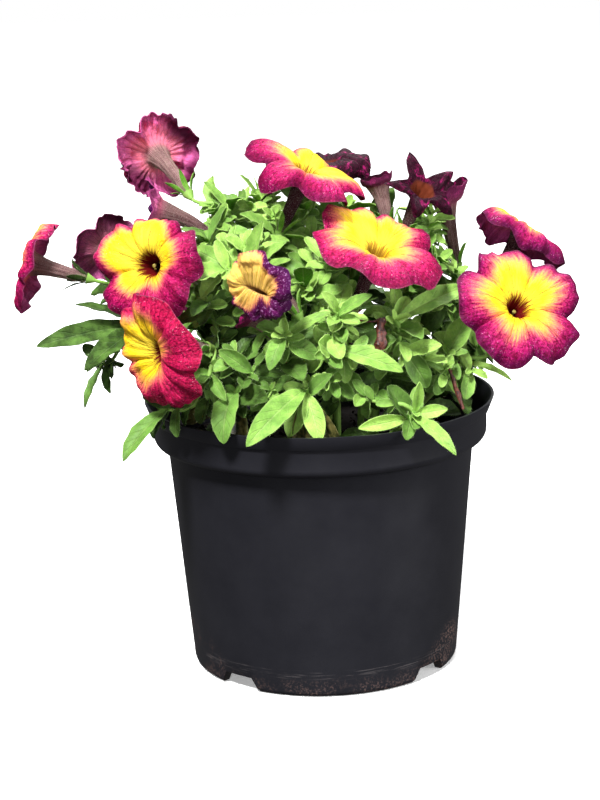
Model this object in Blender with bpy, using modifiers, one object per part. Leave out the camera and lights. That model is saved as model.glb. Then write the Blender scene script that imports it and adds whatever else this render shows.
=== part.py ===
"""A petunia in a 17 cm nursery pot: pot, potting mix, leafy stems and blooms.

Each leafy stem stands in its own hole in the potting mix and carries its leaves, flower stalks
and calyxes in one body. Each corolla is a body of its own, seated in its calyx. Places on the
plant are in millimetres from the pot's axis and from the ground.
"""

import math
import random
from dataclasses import dataclass, replace

import bmesh
import bpy
from mathutils import Matrix, Quaternion, Vector
from mathutils.bvhtree import BVHTree

MM = 0.001
GAP = 0.35 * MM

# The pot's axis, from the middle of the whole plant's footprint.
POT_X = 8 * MM
POT_Y = -3 * MM

# Pot.
POT_STEPS = 32
POT_HEIGHT = 132 * MM
RIM_RADIUS = 85 * MM
WALL = 1.3 * MM
LIP_HEIGHT = 6.5 * MM
LIP_FLARE = 2.5 * MM
LEDGE = 1.2 * MM
COLLAR_HEIGHT = 14 * MM
COLLAR_ROUND = 4 * MM
WALL_TOP_RADIUS = 74.7 * MM
WALL_LOW_RADIUS = 65.6 * MM
BASE_ROUND = 3 * MM
FOOT_FLAT = 2.2 * MM
SKIRT_HEIGHT = 8 * MM
NOTCHES = 4
NOTCH_AZIMUTH = math.radians(50)
NOTCH_HEIGHT = 7 * MM
NOTCH_TOP = 16 * MM
DRAIN_RADIUS = 4.5 * MM
DRAIN_RING = 46 * MM

# Potting mix.
SOIL_STEPS = 20
SOIL_EDGE_Z = 108 * MM
SOIL_DOME = 5 * MM
SOIL_LUMP = 1.2 * MM
SOIL_SEED = 5

# Stems.
ROOTED = 13 * MM
HOLE_CLEARANCE = 0.7 * MM
FOOT_RADIUS = 1.9 * MM
CROWN_RADIUS = 1.3 * MM
SHOOT_RADIUS = 1.1 * MM
STALK_RADIUS = 0.85 * MM

# Calyx.
SEPALS = 5
CALYX_LENGTH = 4 * MM
CALYX_BASE_RADIUS = 1 * MM
CALYX_RADIUS = 3 * MM
SEPAL_RISE = 9 * MM
SEPAL_REACH = 8.5 * MM

# Corolla.
LOBES = 5
PETAL_THICKNESS = 0.7 * MM
TUBE_RADIUS = 2.1 * MM
NECK_RADIUS = 3.4 * MM
THROAT_RADIUS = 5.8 * MM
NECK_AT = 0.62
FLARE = math.radians(36)

# Leaves.
LEAF_THICKNESS = 0.7 * MM
LEAF_FOLD = math.radians(20)
LONG_LEAF = 35 * MM
LEAF_CLEARANCE = 0.45 * MM
LEAF_STEP = 1.4
PLANT_MIDDLE = (0, 10, 130)
LIGHT = (0, -0.4, 0.5)
TRIES = 24

UP = Vector((0, 0, 1))


@dataclass(frozen=True)
class Bloom:
    """A corolla: where its tube is seated, which way it leaves and which way its limb faces."""

    name: str
    stem: str
    seat: tuple
    leaves: tuple
    faces: tuple
    tube: float
    limb: float
    spread: float = -8.0
    lobe_bends: tuple = (0, 0, 0, 0, 0)
    notch: float = 0.16
    wave: float = 1.4
    steps: int = 20


@dataclass(frozen=True)
class Blade:
    """A leaf picked out by hand: its tip, its width and the shoot that it grows from."""

    tip: tuple
    width: float
    shoot: int = 0
    droop: float = 40.0
    roll: float = 0.0


@dataclass(frozen=True)
class Stem:
    """A leafy stem: its foot in the mix, its crown, its side shoots' tips and its main leaves."""

    name: str
    foot: tuple
    crown: tuple
    tips: tuple = ()
    blades: tuple = ()
    rosette: int = 2
    size: float = 23.0
    low_leaves: int = 2
    seed: int = 1


BLOOMS = (
    Bloom("upper_left", "left_top", (-60, 0, 232), (-0.46, 0.67, 0.58), (-0.35, 0.87, 0.35),
          34, 20, -35, (-20, 10, 25, -30, 10), wave=2.2),
    Bloom("old_left", "left_top", (-48, -14, 212), (-0.71, 0.1, 0.69), (-0.97, 0.1, 0.1),
          28, 12, -40, (0, -20, 20, 10, -20), wave=1, steps=10),
    Bloom("top_front", "top", (-16, -22, 216), (0.42, 0.12, 0.9), (0.41, -0.16, 0.9),
          31, 29, -34, (-10, 10, 0, -20, 0), wave=1.8),
    Bloom("top_hidden", "top", (-25, 8, 226), (0.42, 0.22, 0.88), (0.42, 0.22, 0.88),
          18, 8, 75, wave=0.5, steps=10),
    Bloom("top_back", "top_back", (10, 34, 215), (-0.1, 0.14, 0.98), (-0.15, -0.02, 0.98),
          22, 22, -62, (0, 10, -10, 15, 0), wave=1.5),
    Bloom("top_bud", "top_back", (36, 16, 211), (-0.2, 0.18, 0.92), (-0.25, 0.03, 0.95),
          20, 7, 85, wave=0.5, steps=10),
    Bloom("centre", "centre", (17, -38, 182), (0.41, -0.13, 0.9), (0.33, -0.36, 0.87),
          31, 28, -30, (10, -15, 0, -15, 5), wave=1.8),
    Bloom("star", "right_top", (42, 0, 210), (0.4, -0.08, 0.89), (0.3, -0.54, 0.76),
          22, 13, 20, (20, -30, 10, -55, 15), notch=0.55, wave=0.8),
    Bloom("right_closing", "right", (69, 18, 192), (-0.15, 0.14, 0.98), (-0.1, -0.06, 0.99),
          28, 11, 60, wave=0.5, steps=10),
    Bloom("far_right", "right", (88, 12, 186), (0.5, 0.21, 0.84), (0.55, 0.3, 0.78),
          25, 23, -34, (0, 0, 10, -10, -25), wave=1.5),
    Bloom("right_front", "right_front", (83, -14, 156), (0.35, -0.36, 0.86), (0.32, -0.72, 0.55),
          31, 28, -25, (-20, 5, -15, -10, 5), wave=1.8),
    Bloom("left_front", "left_front", (-65, -26, 199), (-0.3, -0.9, 0.33), (-0.45, -0.87, 0.2),
          28, 23, -15, (-45, -5, -15, -30, -20), wave=1.8),
    Bloom("low_left", "left_front", (-51, -57, 169), (-0.75, -0.61, 0.2), (-0.74, -0.65, -0.1),
          27, 26, -35, (30, 0, 0, -20, 0), wave=1.8),
    Bloom("far_left", "far_left", (-109, -15, 195), (-0.95, -0.03, 0.3), (-0.96, 0.02, 0.28),
          26, 22, -35, (-50, 0, -10, 0, 0), wave=1.5),
    Bloom("left_back", "far_left", (-92, 10, 192), (-0.42, 0.69, 0.59), (-0.61, 0.71, 0.34),
          20, 15, -35, (0, 10, -10, 20, 0), wave=1.5),
    Bloom("wilted", "front_left", (-9, -62, 185), (-0.5, 0.11, 0.86), (-0.45, -0.88, -0.14),
          29, 17, -30, (60, -20, -45, -10, 30), wave=2.2),
    Bloom("wilted_small", "front_left", (-20, -55, 172), (-0.5, 0.1, 0.86), (-0.75, 0, 0.6),
          14, 5, 60, wave=0.5, steps=10),
    Bloom("back_left", "back_left", (-44, 60, 160), (-0.3, 0.7, 0.65), (-0.4, 0.85, 0.35),
          28, 22, -30, (0, -10, 5, 0, 10), wave=1.6),
    Bloom("back", "back", (4, 68, 158), (0.1, 0.75, 0.6), (0.05, 0.9, 0.35),
          26, 21, -30, (5, 0, -10, 10, 0), wave=1.6),
)

STEMS = (
    Stem("far_left", (-42, -4), (-84, -14, 172), ((-101, -28, 156), (-94, 2, 184)),
         (Blade((-132, -32, 166), 12, droop=30, roll=-35),
          Blade((-111, -45, 150), 12, droop=45, roll=-30),
          Blade((-113, -30, 185), 8, droop=25), Blade((-110, -38, 137), 6, shoot=1, droop=30),
          Blade((-98, -34, 143), 6, shoot=1, droop=30)), low_leaves=1),
    Stem("left_front", (-36, -22), (-46, -30, 168), ((-50, -46, 188), (-50, -60, 156)),
         (Blade((-58, -68, 144), 5, shoot=2, droop=35), Blade((-42, -72, 147), 6, shoot=2, droop=40)),
         low_leaves=1),
    Stem("left_low", (-26, -42), (-38, -60, 148), ((-70, -55, 140), (-30, -62, 158)),
         (Blade((-90, -72, 120), 10, shoot=1, droop=50), Blade((-48, -90, 133), 13, droop=60),
          Blade((-45, -68, 170), 8, shoot=2, droop=35))),
    Stem("left_top", (-26, -4), (-43, -8, 198), ((-50, -25, 212), (-38, -8, 226)),
         (Blade((-41, -24, 229), 5.5, shoot=1, droop=20),), low_leaves=1),
    Stem("front_left", (-14, -36), (-14, -54, 162), ((-15, -67, 176),),
         (Blade((-22, -78, 162), 8, shoot=1, droop=60), Blade((-32, -74, 166), 4, shoot=1, droop=80),
          Blade((6, -68, 186), 5.5, shoot=1, droop=50),)),
    Stem("centre_left", (-14, -18), (-31, -44, 202), ((-42, -50, 203),),
         (Blade((-23, -50, 225), 8, droop=25), Blade((-13, -48, 215), 6.5, droop=35),
          Blade((-11, -55, 208), 5.5, droop=30), Blade((-55, -58, 200), 12, shoot=1, droop=45))),
    Stem("top", (-8, -2), (-20, -12, 202), ((-27, -3, 229), (-18, -18, 212)),
         (Blade((-35, -8, 241), 5, shoot=1, droop=30), Blade((-34, -14, 236), 8, shoot=1, droop=45),
          Blade((-35, -26, 225), 9, shoot=2, droop=40)), low_leaves=1),
    Stem("top_back", (6, 14), (20, 20, 202), ((-5, -2, 222), (30, 26, 208)), low_leaves=1),
    Stem("centre", (4, -22), (10, -30, 172), ((4, -36, 205), (-6, -50, 194)),
         (Blade((-6, -60, 205), 9, shoot=2, droop=40),)),
    Stem("centre_front", (8, -44), (9, -60, 184), ((5, -64, 166),),
         (Blade((2, -67, 195), 6, droop=50), Blade((25, -66, 193), 6.5, droop=45),
          Blade((0, -71, 173), 12, shoot=1, droop=30), Blade((38, -70, 158), 10, shoot=1, droop=45)),
         low_leaves=4),
    Stem("right_top", (20, 0), (46, -2, 198), ((55, 0, 213), (57, 12, 218)),
         (Blade((45, -14, 208), 7, shoot=1, droop=45), Blade((62, -8, 216), 7, shoot=1, droop=40),
          Blade((54, -16, 207), 7, shoot=1, droop=55),)),
    Stem("right", (36, 4), (68, 8, 172), ((60, -8, 178),),
         (Blade((68, 2, 184), 5, droop=70),)),
    Stem("right_mid", (26, -22), (36, -42, 176), ((39, -46, 160),),
         (Blade((73, -30, 191), 11, droop=40), Blade((57, -52, 166), 8, shoot=1, droop=45)),
         low_leaves=3),
    Stem("right_front", (42, -16), (68, -14, 150), (),
         (Blade((54, -28, 166), 11, droop=45), Blade((92, -22, 141), 4.5, droop=60)), low_leaves=4),
    Stem("front_right", (28, -48), (43, -71, 139), ((19, -61, 146),),
         (Blade((45, -76, 155), 5.5, droop=15), Blade((58, -73, 141), 6.5, droop=25),
          Blade((60, -95, 125), 7.5, droop=45), Blade((17, -77, 134), 7, droop=25),
          Blade((16, -68, 142), 6, shoot=1, droop=30)), rosette=1, low_leaves=3),
    Stem("front_low", (-4, -50), (-6, -67, 151), (),
         (Blade((-33, -93, 131), 13, droop=50), Blade((0, -78, 128), 10, droop=35),
          Blade((-16, -78, 129), 10, droop=35))),
    Stem("back_left", (-24, 24), (-42, 44, 168), ((-62, 34, 190), (-26, 58, 190)), low_leaves=1),
    Stem("back", (-2, 36), (-2, 56, 160), ((-14, 50, 190), (14, 48, 194)), low_leaves=1),
    Stem("back_right", (26, 28), (38, 46, 168), ((58, 40, 180), (34, 44, 196)), low_leaves=1),
    Stem("left_back", (-46, 14), (-72, 34, 158), ((-58, 62, 156),), low_leaves=1),
    Stem("right_back", (46, 20), (74, 32, 154), ((60, 58, 156),), low_leaves=1),
)

COLOURS = {
    "pot": ((0.025, 0.026, 0.03), 0.42),
    "soil": ((0.03, 0.022, 0.016), 0.95),
    "leaf": ((0.3, 0.55, 0.14), 0.6),
    "petal": ((0.45, 0.02, 0.16), 0.55),
    "old_petal": ((0.12, 0.01, 0.05), 0.6),
}
OLD_BLOOMS = ("old_left", "top_hidden", "top_back", "top_bud", "star", "right_closing",
              "left_back", "wilted", "wilted_small")


def place(point):
    """A vector in metres from a place in millimetres."""
    return Vector(point) * MM


def clear_scene():
    """Removes whatever the file holds."""
    for obj in list(bpy.data.objects):
        bpy.data.objects.remove(obj, do_unlink=True)


def make_material(name):
    """A plain material with the part's colour and roughness."""
    colour, roughness = COLOURS[name]
    material = bpy.data.materials.new(name)
    material.use_nodes = True
    shader = material.node_tree.nodes["Principled BSDF"]
    shader.inputs["Base Color"].default_value = (*colour, 1)
    shader.inputs["Roughness"].default_value = roughness
    shader.inputs["Metallic"].default_value = 0
    return material


def add_object(name, mesh, collection):
    """A new object in a collection."""
    obj = bpy.data.objects.new(name, mesh)
    collection.objects.link(obj)
    return obj


def mesh_from(bm, name):
    """A mesh from a bmesh, which is then freed."""
    mesh = bpy.data.meshes.new(name)
    bm.to_mesh(mesh)
    bm.free()
    return mesh


def evaluated_mesh(obj):
    """A new mesh of an object as its modifiers leave it."""
    bpy.context.view_layer.update()
    graph = bpy.context.evaluated_depsgraph_get()
    return bpy.data.meshes.new_from_object(obj.evaluated_get(graph))


def turned(name, profile, steps, collection):
    """A turned body: the profile, of (radius, height) points, goes round the pot's axis."""
    bm = bmesh.new()
    points = [bm.verts.new((radius, 0, height)) for radius, height in profile]
    for first, second in zip(points, points[1:]):
        bm.edges.new((first, second))
    obj = add_object(name, mesh_from(bm, name), collection)
    screw = obj.modifiers.new("turn", "SCREW")
    screw.steps = steps
    screw.render_steps = steps
    screw.use_merge_vertices = True
    screw.merge_threshold = 0.01 * MM
    obj.data = evaluated_mesh(obj)
    obj.modifiers.clear()
    obj.data.shade_smooth()
    obj.data.set_sharp_from_angle(angle=math.radians(30))
    return obj


def arc(length, start, end, part):
    """Distance along and rise of a point on an arc whose slope goes from start to end."""
    turn = end - start
    if abs(turn) < 1e-4:
        return length * part * math.cos(start), length * part * math.sin(start)
    slope = start + turn * part
    radius = length / turn
    return radius * (math.sin(slope) - math.sin(start)), radius * (math.cos(start) - math.cos(slope))


def any_normal(direction):
    """A unit vector square to a direction, as near level as it can be."""
    side = direction.cross(UP)
    return side.normalized() if side.length > 1e-3 else Vector((1, 0, 0))


def pot_outline():
    """The pot's wall as (radius, height) points: inner floor, inner wall, lip, outer wall, base."""
    collar_top = POT_HEIGHT - LIP_HEIGHT
    collar_end = collar_top - COLLAR_HEIGHT
    lip_low = RIM_RADIUS - LIP_FLARE
    collar_radius = lip_low - LEDGE
    floor_top = SKIRT_HEIGHT + WALL
    slope = (WALL_TOP_RADIUS - WALL_LOW_RADIUS) / (collar_end - BASE_ROUND)
    floor_radius = WALL_LOW_RADIUS + slope * (floor_top - BASE_ROUND) - WALL
    corner = COLLAR_ROUND * (1 - math.cos(math.radians(45)))
    base_corner = BASE_ROUND * (1 - math.cos(math.radians(45)))
    return [
        (0, floor_top),
        (floor_radius, floor_top),
        (WALL_TOP_RADIUS - WALL, collar_end),
        (collar_radius - WALL, collar_end + COLLAR_ROUND),
        (collar_radius - WALL, collar_top),
        (RIM_RADIUS - WALL, POT_HEIGHT),
        (RIM_RADIUS, POT_HEIGHT),
        (lip_low, collar_top),
        (collar_radius, collar_top),
        (collar_radius, collar_end + COLLAR_ROUND),
        (collar_radius - corner, collar_end + corner),
        (WALL_TOP_RADIUS, collar_end),
        (WALL_LOW_RADIUS, BASE_ROUND),
        (WALL_LOW_RADIUS - base_corner, base_corner),
        (WALL_LOW_RADIUS - BASE_ROUND, 0),
        (WALL_LOW_RADIUS - BASE_ROUND - FOOT_FLAT, 0),
        (WALL_LOW_RADIUS - BASE_ROUND - FOOT_FLAT, SKIRT_HEIGHT),
        (0, SKIRT_HEIGHT),
    ]


def pot_inner_radius(height):
    """The radius of the pot's inner wall at a height above its floor."""
    inner = pot_outline()[1:6]
    for (low_radius, low), (high_radius, high) in zip(inner, inner[1:]):
        if height <= high:
            return low_radius + (high_radius - low_radius) * (height - low) / (high - low)
    return inner[-1][0]


def add_cutters(name, blanks, collection):
    """One cutter mesh of cylinders, each of (matrix, radius, depth, sides)."""
    bm = bmesh.new()
    for matrix, radius, depth, sides in blanks:
        bmesh.ops.create_cone(bm, cap_ends=True, segments=sides, radius1=radius, radius2=radius,
                              depth=depth, matrix=matrix)
    cutter = add_object(name, mesh_from(bm, name), collection)
    cutter.hide_render = True
    cutter.display_type = "WIRE"
    return cutter


def cut(obj, cutter):
    """Takes a cutter's shape out of an object."""
    boolean = obj.modifiers.new("cut", "BOOLEAN")
    boolean.operation = "DIFFERENCE"
    boolean.object = cutter


def build_pot(collection, cutters):
    """The pot, with four arched notches in its skirt and a drain hole behind each."""
    pot = turned("pot", pot_outline(), POT_STEPS, collection)
    blanks = []
    for index in range(NOTCHES):
        turn = Matrix.Rotation(NOTCH_AZIMUTH + index * math.tau / NOTCHES - math.pi / 2, 4, "Z")
        sunk = NOTCH_TOP * math.cos(math.pi / 6) - NOTCH_HEIGHT
        skirt = Vector((WALL_LOW_RADIUS - BASE_ROUND / 2, 0, -sunk))
        level = Matrix.Rotation(math.pi / 2, 4, "Y")
        blanks.append((turn @ Matrix.Translation(skirt) @ level, NOTCH_TOP, 14 * MM, 6))
        drain = Matrix.Translation((DRAIN_RING, 0, SKIRT_HEIGHT))
        blanks.append((turn @ drain, DRAIN_RADIUS, 6 * MM, 8))
    cut(pot, add_cutters("pot_cutter", blanks, cutters))
    return pot


def soil_height(x, y):
    """The height of the mix's surface: a low dome with lumps."""
    spread = math.hypot(x, y) / pot_inner_radius(SOIL_EDGE_Z)
    lump = math.sin(x / (7 * MM) + SOIL_SEED) * math.cos(y / (9 * MM)) + math.sin((x + y) / (13 * MM))
    return SOIL_EDGE_Z + SOIL_DOME * max(0.0, 1 - spread * spread) + SOIL_LUMP * 0.5 * lump


def build_soil(collection, cutters):
    """The potting mix, which fills the pot and has a plain hole for each stem."""
    floor = SKIRT_HEIGHT + WALL + GAP
    ease = 0.5 * MM
    edge = pot_inner_radius(SOIL_EDGE_Z) - ease
    profile = [(0, SOIL_EDGE_Z), (edge * 0.35, SOIL_EDGE_Z), (edge * 0.7, SOIL_EDGE_Z), (edge, SOIL_EDGE_Z),
               (pot_inner_radius(floor) - ease, floor), (0, floor)]
    soil = turned("soil", profile, SOIL_STEPS, collection)
    for vertex in soil.data.vertices:
        if vertex.co.z > SOIL_EDGE_Z - GAP:
            vertex.co.z = soil_height(vertex.co.x, vertex.co.y)
    blanks = []
    for stem in STEMS:
        foot = stem_foot(stem)
        depth = ROOTED + GAP + 10 * MM
        middle = Vector((foot.x, foot.y, foot.z - GAP + depth / 2))
        blanks.append((Matrix.Translation(middle), FOOT_RADIUS + HOLE_CLEARANCE, depth, 6))
    cut(soil, add_cutters("soil_cutter", blanks, cutters))
    return soil


def stem_foot(stem):
    """The lowest point of a stem, inside its hole."""
    x, y = stem.foot[0] * MM, stem.foot[1] * MM
    return Vector((x, y, soil_height(x, y) - ROOTED))


def bezier(start, start_handle, end_handle, end, part):
    """A point on a cubic curve."""
    rest = 1 - part
    return (start * rest ** 3 + start_handle * 3 * rest * rest * part
            + end_handle * 3 * rest * part * part + end * part ** 3)


def trunk_path(stem):
    """Points up a stem, upright in its hole and then leaning out to its crown."""
    foot = stem_foot(stem)
    collar = foot + UP * (ROOTED + 3 * MM)
    crown = place(stem.crown)
    rise = crown.z - collar.z
    lean = (crown - collar).normalized()
    handle_up = collar + UP * rise * 0.45
    handle_down = crown - (lean + UP * 0.6).normalized() * rise * 0.35
    return [foot] + [bezier(collar, handle_up, handle_down, crown, i / 3) for i in range(4)]


def path_end(path):
    """The direction in which a path ends."""
    return (path[-1] - path[-2]).normalized()


def shoot_path(trunk, tip):
    """Points along a side shoot, from inside the stem's crown to the shoot's tip."""
    start = trunk[-1]
    away = tip - start
    reach = away.length
    handle = start + (path_end(trunk) + away.normalized()).normalized() * reach * 0.4
    settle = (away.normalized() + UP * 0.7).normalized()
    return [bezier(start, handle, tip - settle * reach * 0.35, tip, i / 2) for i in range(3)]


def stalk_path(start, bloom):
    """Points along a flower stalk, from a rosette to just short of the corolla's tube."""
    leaves = Vector(bloom.leaves).normalized()
    end = place(bloom.seat) - leaves * (CALYX_LENGTH - 1 * MM)
    reach = (end - start).length
    handle = start + ((end - start).normalized() + UP * 0.4).normalized() * reach * 0.4
    return [bezier(start, handle, end - leaves * reach * 0.4, end, i / 3) for i in range(4)]


class Skeleton:
    """The tubes of a stem: trunk, shoots and flower stalks, each a path with its radii."""

    def __init__(self, stem):
        self.stem = stem
        self.trunk = trunk_path(stem)
        self.shoots = [self.trunk] + [shoot_path(self.trunk, place(tip)) for tip in stem.tips]
        self.blooms = [bloom for bloom in BLOOMS if bloom.stem == stem.name]
        self.stalks = [stalk_path(self.nearest_tip(bloom), bloom) for bloom in self.blooms]

    def nearest_tip(self, bloom):
        """The rosette from which a bloom's stalk has the shortest way, leaving room to bend."""
        seat = place(bloom.seat) - Vector(bloom.leaves).normalized() * 12 * MM
        return min((path[-1] for path in self.shoots), key=lambda tip: (tip - seat).length)

    def tubes(self):
        """Each tube as its path and its radii."""
        count = len(self.trunk)
        yield self.trunk, [FOOT_RADIUS + (CROWN_RADIUS - FOOT_RADIUS) * i / (count - 1)
                           for i in range(count)]
        for path in self.shoots[1:]:
            yield path, [SHOOT_RADIUS] * len(path)
        for path in self.stalks:
            yield path, [STALK_RADIUS * 1.2] + [STALK_RADIUS] * (len(path) - 1)


def tube_object(name, path, radii, collection):
    """A round tube along a path, as a closed mesh."""
    curve = bpy.data.curves.new(name, "CURVE")
    curve.dimensions = "3D"
    curve.bevel_depth = 1
    curve.bevel_resolution = 0
    curve.use_fill_caps = True
    spline = curve.splines.new("POLY")
    spline.points.add(len(path) - 1)
    for point, where, radius in zip(spline.points, path, radii):
        point.co = (*where, 1)
        point.radius = radius
    wire = add_object(name + "_wire", curve, collection)
    mesh = evaluated_mesh(wire)
    bpy.data.objects.remove(wire)
    bm = bmesh.new()
    bm.from_mesh(mesh)
    bmesh.ops.remove_doubles(bm, verts=bm.verts[:], dist=0.001 * MM)
    bmesh.ops.recalc_face_normals(bm, faces=bm.faces[:])
    return add_object(name, mesh_from(bm, name), collection)


def calyx(bloom):
    """A calyx as a bmesh: a five-sided cup, each side of which is drawn out into a sepal."""
    leaves = Vector(bloom.leaves).normalized()
    side = any_normal(leaves)
    turn = Matrix((side, leaves.cross(side), leaves)).transposed().to_4x4()
    frame = Matrix.Translation(place(bloom.seat) - leaves * GAP) @ turn
    bm = bmesh.new()
    middle = Matrix.Translation((0, 0, -CALYX_LENGTH / 2))
    bmesh.ops.create_cone(bm, cap_ends=True, segments=SEPALS, radius1=CALYX_BASE_RADIUS,
                          radius2=CALYX_RADIUS, depth=CALYX_LENGTH, matrix=middle)
    for cup_side in [face for face in bm.faces if len(face.verts) == 4]:
        out = cup_side.calc_center_median()
        out.z = 0
        tip = out.normalized() * SEPAL_REACH
        tip.z = SEPAL_RISE
        drawn = bmesh.ops.poke(bm, faces=[cup_side])
        drawn["verts"][0].co = tip
    bm.transform(frame)
    return bm


@dataclass(frozen=True)
class Leaf:
    """A leaf's form: its root, its heading, its upper face and its sizes."""

    root: Vector
    heading: Vector
    face: Vector
    length: float
    width: float
    droop: float
    twist: float = 0.0
    fold: float = 0.0

    def outline(self, part):
        """Half the leaf's width at a part of its length."""
        return self.width / 2 * math.sin(math.pi * min(part, 1 - 1e-9) ** 1.15) ** 0.85

    def point(self, part, across, lift=0.0):
        """A point at a part of the length, from one edge (-1) to the other (1)."""
        along, rise = arc(self.length, 0, -self.droop, part)
        slope = -self.droop * part
        normal = self.face * math.cos(slope) - self.heading * math.sin(slope)
        side = self.heading.cross(self.face)
        twist = self.twist * part
        side, normal = (side * math.cos(twist) + normal * math.sin(twist),
                        normal * math.cos(twist) - side * math.sin(twist))
        half = self.outline(part)
        return (self.root + self.heading * along + self.face * rise
                + side * across * half * math.cos(self.fold)
                + normal * (abs(across) * half * math.sin(self.fold) + lift))

    def blade(self, thickness, start=0.0):
        """The leaf as a closed bmesh blade, from a part of its length on."""
        cells = 4 if self.length > LONG_LEAF else 3
        bm = bmesh.new()
        bmesh.ops.create_grid(bm, x_segments=cells, y_segments=2 if self.fold else 1, size=1)
        for vertex in bm.verts:
            part = start + (1 - start) * (vertex.co.x + 1) / 2
            vertex.co = self.point(part, vertex.co.y, (thickness - LEAF_THICKNESS) / 2)
        bmesh.ops.remove_doubles(bm, verts=bm.verts[:], dist=0.01 * MM)
        bmesh.ops.triangulate(bm, faces=bm.faces[:])
        bmesh.ops.solidify(bm, geom=bm.faces[:], thickness=thickness)
        return bm


class Corolla:
    """A corolla's form: a funnel along a bent axis, opening into a limb of five lobes."""

    def __init__(self, bloom):
        self.bloom = bloom
        self.seat = place(bloom.seat)
        self.leaves = Vector(bloom.leaves).normalized()
        faces = Vector(bloom.faces).normalized()
        self.bend = self.leaves.angle(faces)
        axis = self.leaves.cross(faces)
        self.hinge = axis.normalized() if axis.length > 1e-4 else any_normal(self.leaves)
        self.lean = self.hinge.cross(self.leaves)
        level = faces.cross(UP)
        upward = level.cross(faces).normalized() if level.length > 1e-3 else self.lean
        self.turn = math.atan2(upward.dot(self.hinge), upward.dot(self.hinge.cross(faces)))

    def axis_point(self, part):
        """A point on the funnel's axis, and the axis's direction there."""
        along, rise = arc(self.bloom.tube * MM, 0, self.bend, part)
        slope = self.bend * part
        direction = self.leaves * math.cos(slope) + self.lean * math.sin(slope)
        return self.seat + self.leaves * along + self.lean * rise, direction

    def funnel_radius(self, part):
        """The funnel's radius at a part of its length."""
        if part < NECK_AT:
            return TUBE_RADIUS + (NECK_RADIUS - TUBE_RADIUS) * part / NECK_AT
        return NECK_RADIUS + (THROAT_RADIUS - NECK_RADIUS) * ((part - NECK_AT) / (1 - NECK_AT)) ** 1.5

    def lobe_bend(self, around):
        """How far a petal's edge is bent past the limb's spread, in radians."""
        total = 0.0
        for lobe, bend in enumerate(self.bloom.lobe_bends):
            off = math.remainder(around - lobe * math.tau / LOBES, math.tau)
            total += bend * max(0.0, math.cos(off * LOBES / 4)) ** 2
        return math.radians(total)

    def point(self, part, around):
        """A point of the corolla: part 0 to 1 is the funnel, 1 to 2 the limb."""
        centre, direction = self.axis_point(min(part, 1))
        first = self.hinge.cross(direction)
        out = first * math.cos(around + self.turn) + self.hinge * math.sin(around + self.turn)
        if part <= 1:
            return centre + out * self.funnel_radius(part)
        rim = part - 1
        notch = self.bloom.notch * ((1 - math.cos(LOBES * around)) / 2) ** 3
        length = self.bloom.limb * MM * (1 - notch)
        end = math.radians(self.bloom.spread) + self.lobe_bend(around)
        along, rise = arc(length, FLARE, end, rim)
        wave = self.bloom.wave * MM * rim * rim * math.sin(7 * around + len(self.bloom.name))
        return centre + out * (THROAT_RADIUS + along) + direction * (rise + wave)


CAD_RINGS = (0.0, NECK_AT, 1.0, 1.5, 2.0)


def sleeve(corolla, rings, steps, coarse_below, collection):
    """An open sleeve of rings, turned round an axis and then opened into the corolla's form."""
    blank = turned("sleeve", [(1, -index) for index in range(len(rings))], steps, collection)
    bm = bmesh.new()
    bm.from_mesh(blank.data)
    bpy.data.objects.remove(blank)
    for vertex in bm.verts:
        around = math.atan2(vertex.co.y, vertex.co.x) % math.tau
        part = rings[round(-vertex.co.z)]
        if part < coarse_below:
            around = (round(around * steps / math.tau) // 2) * 2 * math.tau / steps
        vertex.co = corolla.point(part, around)
    bmesh.ops.remove_doubles(bm, verts=bm.verts[:], dist=0.01 * MM)
    bmesh.ops.triangulate(bm, faces=bm.faces[:])
    return bm


def build_corolla(bloom, collection):
    """A corolla: a thin wall on the form of its funnel and limb."""
    bm = sleeve(Corolla(bloom), CAD_RINGS, bloom.steps, bloom.steps > 10, collection)
    corolla = add_object("corolla_" + bloom.name, mesh_from(bm, bloom.name), collection)
    wall = corolla.modifiers.new("wall", "SOLIDIFY")
    wall.thickness = PETAL_THICKNESS
    wall.offset = 0
    return corolla


class Clearance:
    """What already stands in the plant, so that each new leaf can be kept clear of it."""

    def __init__(self):
        self.trees = []

    def add(self, owner, bm):
        """Keeps a body as an obstacle that belongs to an owner."""
        low, high = bounds(bm)
        self.trees.append((owner, low, high, BVHTree.FromBMesh(bm)))

    def meets(self, bm, wanted):
        """Whether a body crosses any obstacle whose owner is wanted."""
        low, high = bounds(bm)
        tree = None
        for owner, other_low, other_high, other in self.trees:
            if not wanted(owner) or any(low[i] > other_high[i] or high[i] < other_low[i] for i in range(3)):
                continue
            tree = tree or BVHTree.FromBMesh(bm)
            if tree.overlap(other):
                return True
        return False

    def blocks(self, owner, leaf):
        """Whether a leaf would touch another body, or cross a leaf of its own stem past its root."""
        proud = replace(leaf, length=leaf.length + LEAF_CLEARANCE, width=leaf.width + 2 * LEAF_CLEARANCE)
        whole = proud.blade(LEAF_THICKNESS + 2 * LEAF_CLEARANCE)
        outer = leaf.blade(LEAF_THICKNESS, 0.2)
        own = owner + "/leaf"
        hit = (self.meets(whole, lambda other: other.split("/")[0] != owner)
               or self.meets(outer, lambda other: other == own))
        whole.free()
        outer.free()
        return hit


def bounds(bm):
    """The lowest and highest corner of a bmesh."""
    columns = list(zip(*(vertex.co for vertex in bm.verts)))
    return [min(column) for column in columns], [max(column) for column in columns]


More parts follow.
